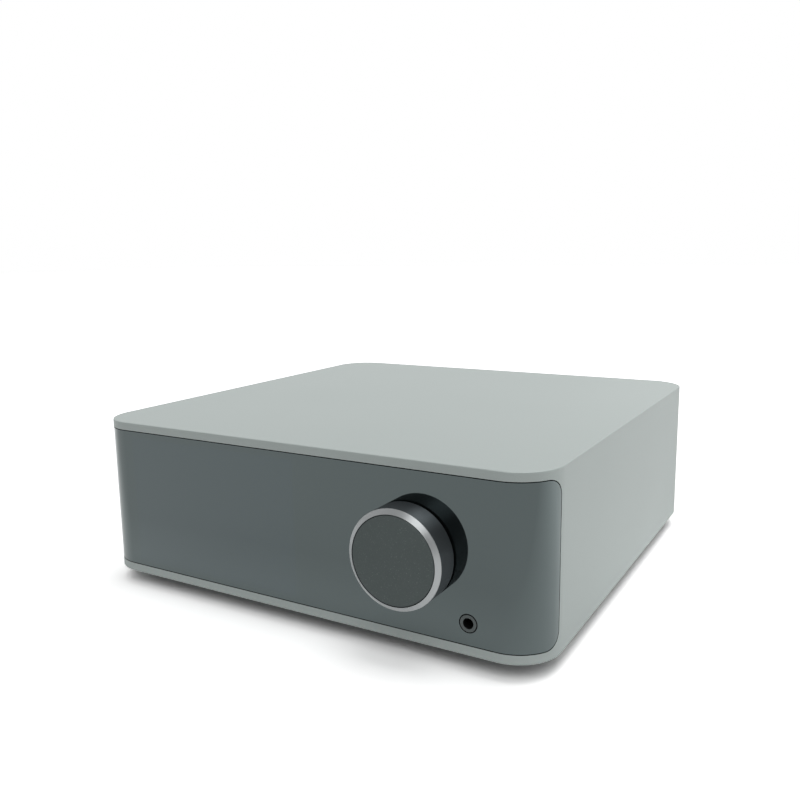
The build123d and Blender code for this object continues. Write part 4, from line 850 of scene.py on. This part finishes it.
class STREAMER_OT_headphone_collar(bpy.types.Operator):
    """Models the collar round the headphone socket's mouth"""

    bl_idname = "streamer.headphone_collar"
    bl_label = "Headphone collar"

    def execute(self, context):
        centre, radius, depth = round_front("headphone_collar")
        bore = 1.8 * MM
        mouth = 0.35 * MM
        edge = 0.2 * MM
        profile = [
            (bore, depth),
            (bore, mouth),
            *arc(bore + mouth, mouth, mouth, 180, 270)[1:],
            *arc(radius - edge, edge, edge, 270, 360),
            (radius, depth),
            (bore, depth),
        ]
        collar = turned("socket_collar", centre, profile, steps=96)
        smooth(collar)
        material = grained("collar_dark", (0.105, 0.12, 0.12), 0.6, 0.35, 3000.0)
        mount(collar, "case", "collar_metal", material, "headphone_collar")
        self.paint_shade_on_collar_sides(collar)
        return {"FINISHED"}

    def paint_shade_on_collar_sides(self, collar):
        """Paints all but the front of the collar black, as painted shade round its ring."""
        # Painted shade: the black on the collar's sides and mouth draws the dark lines round the
        # ring.
        collar.data.materials.append(painted_shade_black("collar_shadow"))
        for face in collar.data.polygons:
            if face.normal.y > -0.75:
                face.material_index = 1


class STREAMER_OT_feet(bpy.types.Operator):
    """Models one rubber foot and copies it to the four corners"""

    bl_idname = "streamer.feet"
    bl_label = "Feet"

    def execute(self, context):
        size = context.scene.streamer_case
        low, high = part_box("feet")
        height = high.z - low.z
        place = high.x - size.foot_radius
        deselect_all()
        bpy.ops.mesh.primitive_cylinder_add(
            vertices=96, radius=size.foot_radius, depth=height, location=(0, 0, height / 2),
        )
        foot = settle(bpy.context.object)
        foot.name = "rubber_feet"
        bevel_edges(
            foot, lambda a, b: max(a.z, b.z) < MERGE_DISTANCE, size.foot_edge, steps=5,
        )
        smooth(foot)
        feet = copies(foot, [(x, y, 0) for x in (-place, place) for y in (-place, place)])
        material = grained("foot_rubber", (0.012, 0.012, 0.012), 0.0, 0.8, 1500.0)
        mount(feet, "case", "foot_rubber", material, "feet")
        return {"FINISHED"}


class STREAMER_OT_phono_barrels(bpy.types.Operator):
    """Models one plated barrel with a rounded mouth and copies it to the eight phono sockets"""

    bl_idname = "streamer.phono_barrels"
    bl_label = "Phono barrels"

    def execute(self, context):
        low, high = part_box("rca_barrels")
        panel_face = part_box("rear_panel")[1].y
        radius = 4.15 * MM
        neck = 3.95 * MM
        wall = 0.75 * MM
        rim = wall / 2
        depth = high.y - low.y
        shoulder = high.y - panel_face
        profile = [
            (radius - wall, depth),
            (radius - wall, rim),
            *arc(radius - rim, rim, rim, 180, 360, 8)[1:],
            (radius, shoulder),
            (neck, shoulder),
            (neck, depth),
            (radius - wall, depth),
        ]
        barrel = turned("phono_shields", (0, 0, 0), profile, facing=1, steps=64)
        smooth(barrel)
        columns, rows = 4, 2
        first = Vector((low.x + radius, high.y, low.z + radius))
        pitch = (high.x - low.x - 2 * radius) / (columns - 1)
        barrels = copies(barrel, [
            first + Vector((pitch * i, 0, pitch * j)) for i in range(columns) for j in range(rows)
        ])
        material = grained(
            "bright_nickel", (0.5, 0.485, 0.455), 1.0, 0.22, 2500.0, depth=0.001 * MM, amount=0.03,
        )
        mount(barrels, "case", "nickel", material, "rca_barrels")
        return {"FINISHED"}


class STREAMER_OT_socket_contacts(bpy.types.Operator):
    """Models the gold contacts in the network, storage and video sockets"""

    bl_idname = "streamer.socket_contacts"
    bl_label = "Socket contacts"

    def execute(self, context):
        gold = grained(
            "contact_gold", (0.86, 0.6, 0.22), 1.0, 0.25, 2500.0, depth=0.001 * MM, amount=0.03,
        )
        low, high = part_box("network_socket")
        self.add_row(
            gold, "network_contacts", count=8, pitch=1.02 * MM, width=0.35 * MM,
            middle=(low.x + high.x) / 2, level=low.z + 10.6 * MM,
            front=high.y - 11 * MM, back=high.y - 4 * MM,
        )
        for name, node, count, pitch, width in (
            ("storage_contacts", "usb_insert", 4, 2.3 * MM, 1.0 * MM),
            ("video_contacts", "hdmi_insert", 10, 1.0 * MM, 0.45 * MM),
        ):
            low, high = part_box(node)
            self.add_row(
                gold, name, count, pitch, width,
                middle=(low.x + high.x) / 2, level=low.z - 0.08 * MM,
                front=low.y + 2 * MM, back=high.y - 0.6 * MM,
            )
        return {"FINISHED"}

    def add_row(self, gold, name, count, pitch, width, middle, level, front, back):
        """Row of flat contacts that run along Y."""
        thick = 0.16 * MM
        contact = add_block(name, (-width / 2, front, level), (width / 2, back, level + thick))
        break_edges(contact, thick / 4)
        start = middle - pitch * (count - 1) / 2
        row = copies(contact, [(start + pitch * i, 0, 0) for i in range(count)])
        mount(row, "case", "gold_brass", gold)


# Metallic, roughness, scale of the fine grain and colour of each material slot
FINISHES = {
    "base_steel": (0.0, 0.55, 2200.0, (0.018, 0.018, 0.019)),
    "screw_steel": (0.8, 0.4, 3000.0, (0.03, 0.03, 0.032)),
    "panel_black": (0.3, 0.48, 3000.0, (0.02, 0.021, 0.022)),
    "tape_black": (0.0, 0.8, 1200.0, (0.012, 0.012, 0.012)),
    "carrier_plastic": (0.0, 0.6, 1800.0, (0.018, 0.018, 0.019)),
    "display_dark": (0.0, 0.15, 500.0, (0.01, 0.013, 0.02)),
    "bracket_steel": (1.0, 0.35, 1500.0, (0.55, 0.56, 0.56)),
    "flex_amber": (0.0, 0.3, 900.0, (0.42, 0.17, 0.03)),
    "board_laminate": (0.0, 0.4, 700.0, (0.006, 0.045, 0.02)),
    "encoder_zinc": (1.0, 0.4, 2000.0, (0.5, 0.51, 0.51)),
    "plain_brass": (1.0, 0.3, 2200.0, (0.62, 0.43, 0.16)),
    "nickel": (1.0, 0.24, 2500.0, (0.5, 0.485, 0.455)),
    "shaft_steel": (1.0, 0.28, 2500.0, (0.5, 0.5, 0.5)),
    "rotor_plastic": (0.0, 0.5, 1800.0, (0.02, 0.02, 0.02)),
    "socket_plastic": (0.0, 0.42, 2000.0, (0.011, 0.011, 0.012)),
    "heatsink_aluminium": (1.0, 0.45, 1800.0, (0.45, 0.46, 0.47)),
    "antenna_black": (0.0, 0.5, 1500.0, (0.012, 0.012, 0.012)),
    "chip_plastic": (0.0, 0.55, 2500.0, (0.013, 0.013, 0.014)),
    "can_sleeve": (0.0, 0.3, 900.0, (0.015, 0.02, 0.05)),
    "ribbon_grey": (0.0, 0.35, 900.0, (0.5, 0.5, 0.48)),
    "ring_white": (0.0, 0.35, 1500.0, (0.75, 0.75, 0.72)),
    "ring_red": (0.0, 0.35, 1500.0, (0.45, 0.012, 0.012)),
    "ring_black": (0.0, 0.35, 1500.0, (0.012, 0.012, 0.012)),
    "gold_brass": (1.0, 0.25, 2500.0, (0.86, 0.6, 0.22)),
    "shutter_plastic": (0.0, 0.5, 1800.0, (0.02, 0.02, 0.021)),
    "button_plastic": (0.0, 0.45, 2200.0, (0.025, 0.025, 0.026)),
    "lead_sleeve": (0.0, 0.5, 1200.0, (0.015, 0.015, 0.018)),
    "ferrite": (0.0, 0.6, 1500.0, (0.03, 0.03, 0.032)),
    "coil_tape": (0.0, 0.3, 800.0, (0.6, 0.4, 0.03)),
}


class STREAMER_OT_frame_finishes(bpy.types.Operator):
    """Gives each remaining piece of the frame the grain and colour of its material slot"""

    bl_idname = "streamer.frame_finishes"
    bl_label = "Frame finishes"

    def execute(self, context):
        built = {}
        for row in frame["record"]["subparts"]:
            node = frame["nodes"][row["node"]]
            slot = row["material_slot"]
            if node.hide_render:
                continue
            if slot not in built:
                metallic, roughness, fine, colour = FINISHES[slot]
                built[slot] = grained(slot, colour, metallic, roughness, fine)
            node.data.materials.clear()
            node.data.materials.append(built[slot])
        return {"FINISHED"}


# Each lamp's name, the setting of its strength, where it comes from and its width in degrees
LAMPS = (
    ("overhead", "top_light", (0.18, 0.1, 0.9), 36),
    ("behind", "back_light", (0.15, 0.85, 0.5), 50),
    ("in_front", "front_light", (0.27, -0.58, 0.77), 38),
)
FLOOR_SIZE = 12
# Where reflections see the floor turn whiter, along Y in metres
FLOOR_FADE = (-0.17, 0.02)
# Where reflections see the room turn whiter, along Y of their direction
ROOM_FADE = (-0.6, 0.2)
SENSOR_WIDTH = 36
NEAR_CLIP = 10 * MM


class STREAMER_OT_stage(bpy.types.Operator):
    """Adds the floor, the soft lights, the white room and the camera"""

    bl_idname = "streamer.stage"
    bl_label = "Stage"

    def execute(self, context):
        settings = context.scene.streamer_stage
        self.add_floor(settings)
        self.add_room(settings)
        for name, setting, comes_from, spread in LAMPS:
            self.add_sun(name, getattr(settings, setting), comes_from, spread)
        self.add_camera(settings)
        context.scene.view_settings.view_transform = "Standard"
        return {"FINISHED"}

    def add_floor(self, settings):
        """Pale floor that keeps the shadow; reflections see it whiter beside and behind."""
        deselect_all()
        bpy.ops.mesh.primitive_plane_add(size=FLOOR_SIZE, location=(0, 0, 0))
        floor = bpy.context.object
        floor.name = "floor"
        material, shader = new_material("pale_floor")
        shader.inputs["Roughness"].default_value = 0.9
        shader.inputs["Specular IOR Level"].default_value = 0.0
        tree = material.node_tree
        whiteness = (settings.floor_near, settings.floor_far)
        fade = map_range(tree, coordinates(tree)["Y"], FLOOR_FADE, whiteness)
        rays = tree.nodes.new("ShaderNodeLightPath").outputs
        mirrored = pick(tree, rays["Is Glossy Ray"], settings.floor_bounce, fade)
        seen = pick(tree, rays["Is Camera Ray"], mirrored, settings.floor_white)
        tree.links.new(seen, shader.inputs["Base Color"])
        floor.data.materials.append(material)

    def add_room(self, settings):
        """White room for the rays that see it, and a plain even light for the rest."""
        world = bpy.data.worlds.new("white_room")
        bpy.context.scene.world = world
        world.use_nodes = True
        tree = world.node_tree
        background = tree.nodes["Background"]
        background.inputs["Color"].default_value = (1, 1, 1, 1)
        whiteness = (settings.room_front, 1.0)
        fade = map_range(tree, coordinates(tree, "Generated")["Y"], ROOM_FADE, whiteness)
        rays = tree.nodes.new("ShaderNodeLightPath").outputs
        mirrored = pick(tree, rays["Is Glossy Ray"], settings.room_light, fade)
        through = pick(tree, rays["Is Transmission Ray"], mirrored, 1.0)
        seen = pick(tree, rays["Is Camera Ray"], through, 1.0)
        tree.links.new(seen, background.inputs["Strength"])

    def add_sun(self, name, strength, comes_from, spread):
        """Broad soft light that comes from one direction."""
        light = bpy.data.lights.new(name, "SUN")
        light.energy = strength
        light.angle = math.radians(spread)
        lamp = bpy.data.objects.new(name, light)
        lamp.rotation_euler = Vector(comes_from).to_track_quat("Z", "Y").to_euler()
        bpy.context.scene.collection.objects.link(lamp)

    def add_camera(self, settings):
        """Camera at the photograph's place and angle."""
        camera = bpy.data.cameras.new("camera")
        camera.lens = settings.lens
        camera.sensor_width = SENSOR_WIDTH
        camera.clip_start = NEAR_CLIP
        holder = bpy.data.objects.new("camera", camera)
        azimuth, elevation, roll = settings.azimuth, settings.elevation, settings.roll
        back = Vector((
            math.sin(azimuth) * math.cos(elevation),
            -math.cos(azimuth) * math.cos(elevation),
            math.sin(elevation),
        ))
        level = (-back).cross(Vector((0, 0, 1))).normalized()
        upright = level.cross(-back)
        right = level * math.cos(roll) + upright * math.sin(roll)
        up = upright * math.cos(roll) - level * math.sin(roll)
        turn = Matrix((right, up, back)).transposed()
        holder.matrix_world = Matrix.Translation(settings.camera_place) @ turn.to_4x4()
        bpy.context.scene.collection.objects.link(holder)
        bpy.context.scene.camera = holder


PIECES = (
    STREAMER_OT_case_cover, STREAMER_OT_front_glass, STREAMER_OT_knob,
    STREAMER_OT_headphone_collar, STREAMER_OT_feet, STREAMER_OT_phono_barrels,
    STREAMER_OT_socket_contacts, STREAMER_OT_frame_finishes, STREAMER_OT_stage,
)


class STREAMER_PT_panel(bpy.types.Panel):
    """Lists the pieces in the sidebar"""

    bl_label = "Music streamer"
    bl_space_type = "VIEW_3D"
    bl_region_type = "UI"
    bl_category = "Streamer"

    def draw(self, context):
        for piece in PIECES:
            self.layout.operator(piece.bl_idname)


CLASSES = (CaseSettings, KnobSettings, FinishSettings, StageSettings, *PIECES, STREAMER_PT_panel)


def register():
    """Registers the classes and hangs the settings on the scene."""
    for cls in CLASSES:
        bpy.utils.register_class(cls)
    bpy.types.Scene.streamer_case = PointerProperty(type=CaseSettings)
    bpy.types.Scene.streamer_knob = PointerProperty(type=KnobSettings)
    bpy.types.Scene.streamer_finish = PointerProperty(type=FinishSettings)
    bpy.types.Scene.streamer_stage = PointerProperty(type=StageSettings)


def unregister():
    """Takes the settings and the classes away again."""
    del bpy.types.Scene.streamer_stage
    del bpy.types.Scene.streamer_finish
    del bpy.types.Scene.streamer_knob
    del bpy.types.Scene.streamer_case
    for cls in reversed(CLASSES):
        bpy.utils.unregister_class(cls)


def main():
    """Makes every piece in order."""
    register()
    for piece in PIECES:
        area, name = piece.bl_idname.split(".")
        getattr(getattr(bpy.ops, area), name)()


if __name__ == "__main__":
    main()
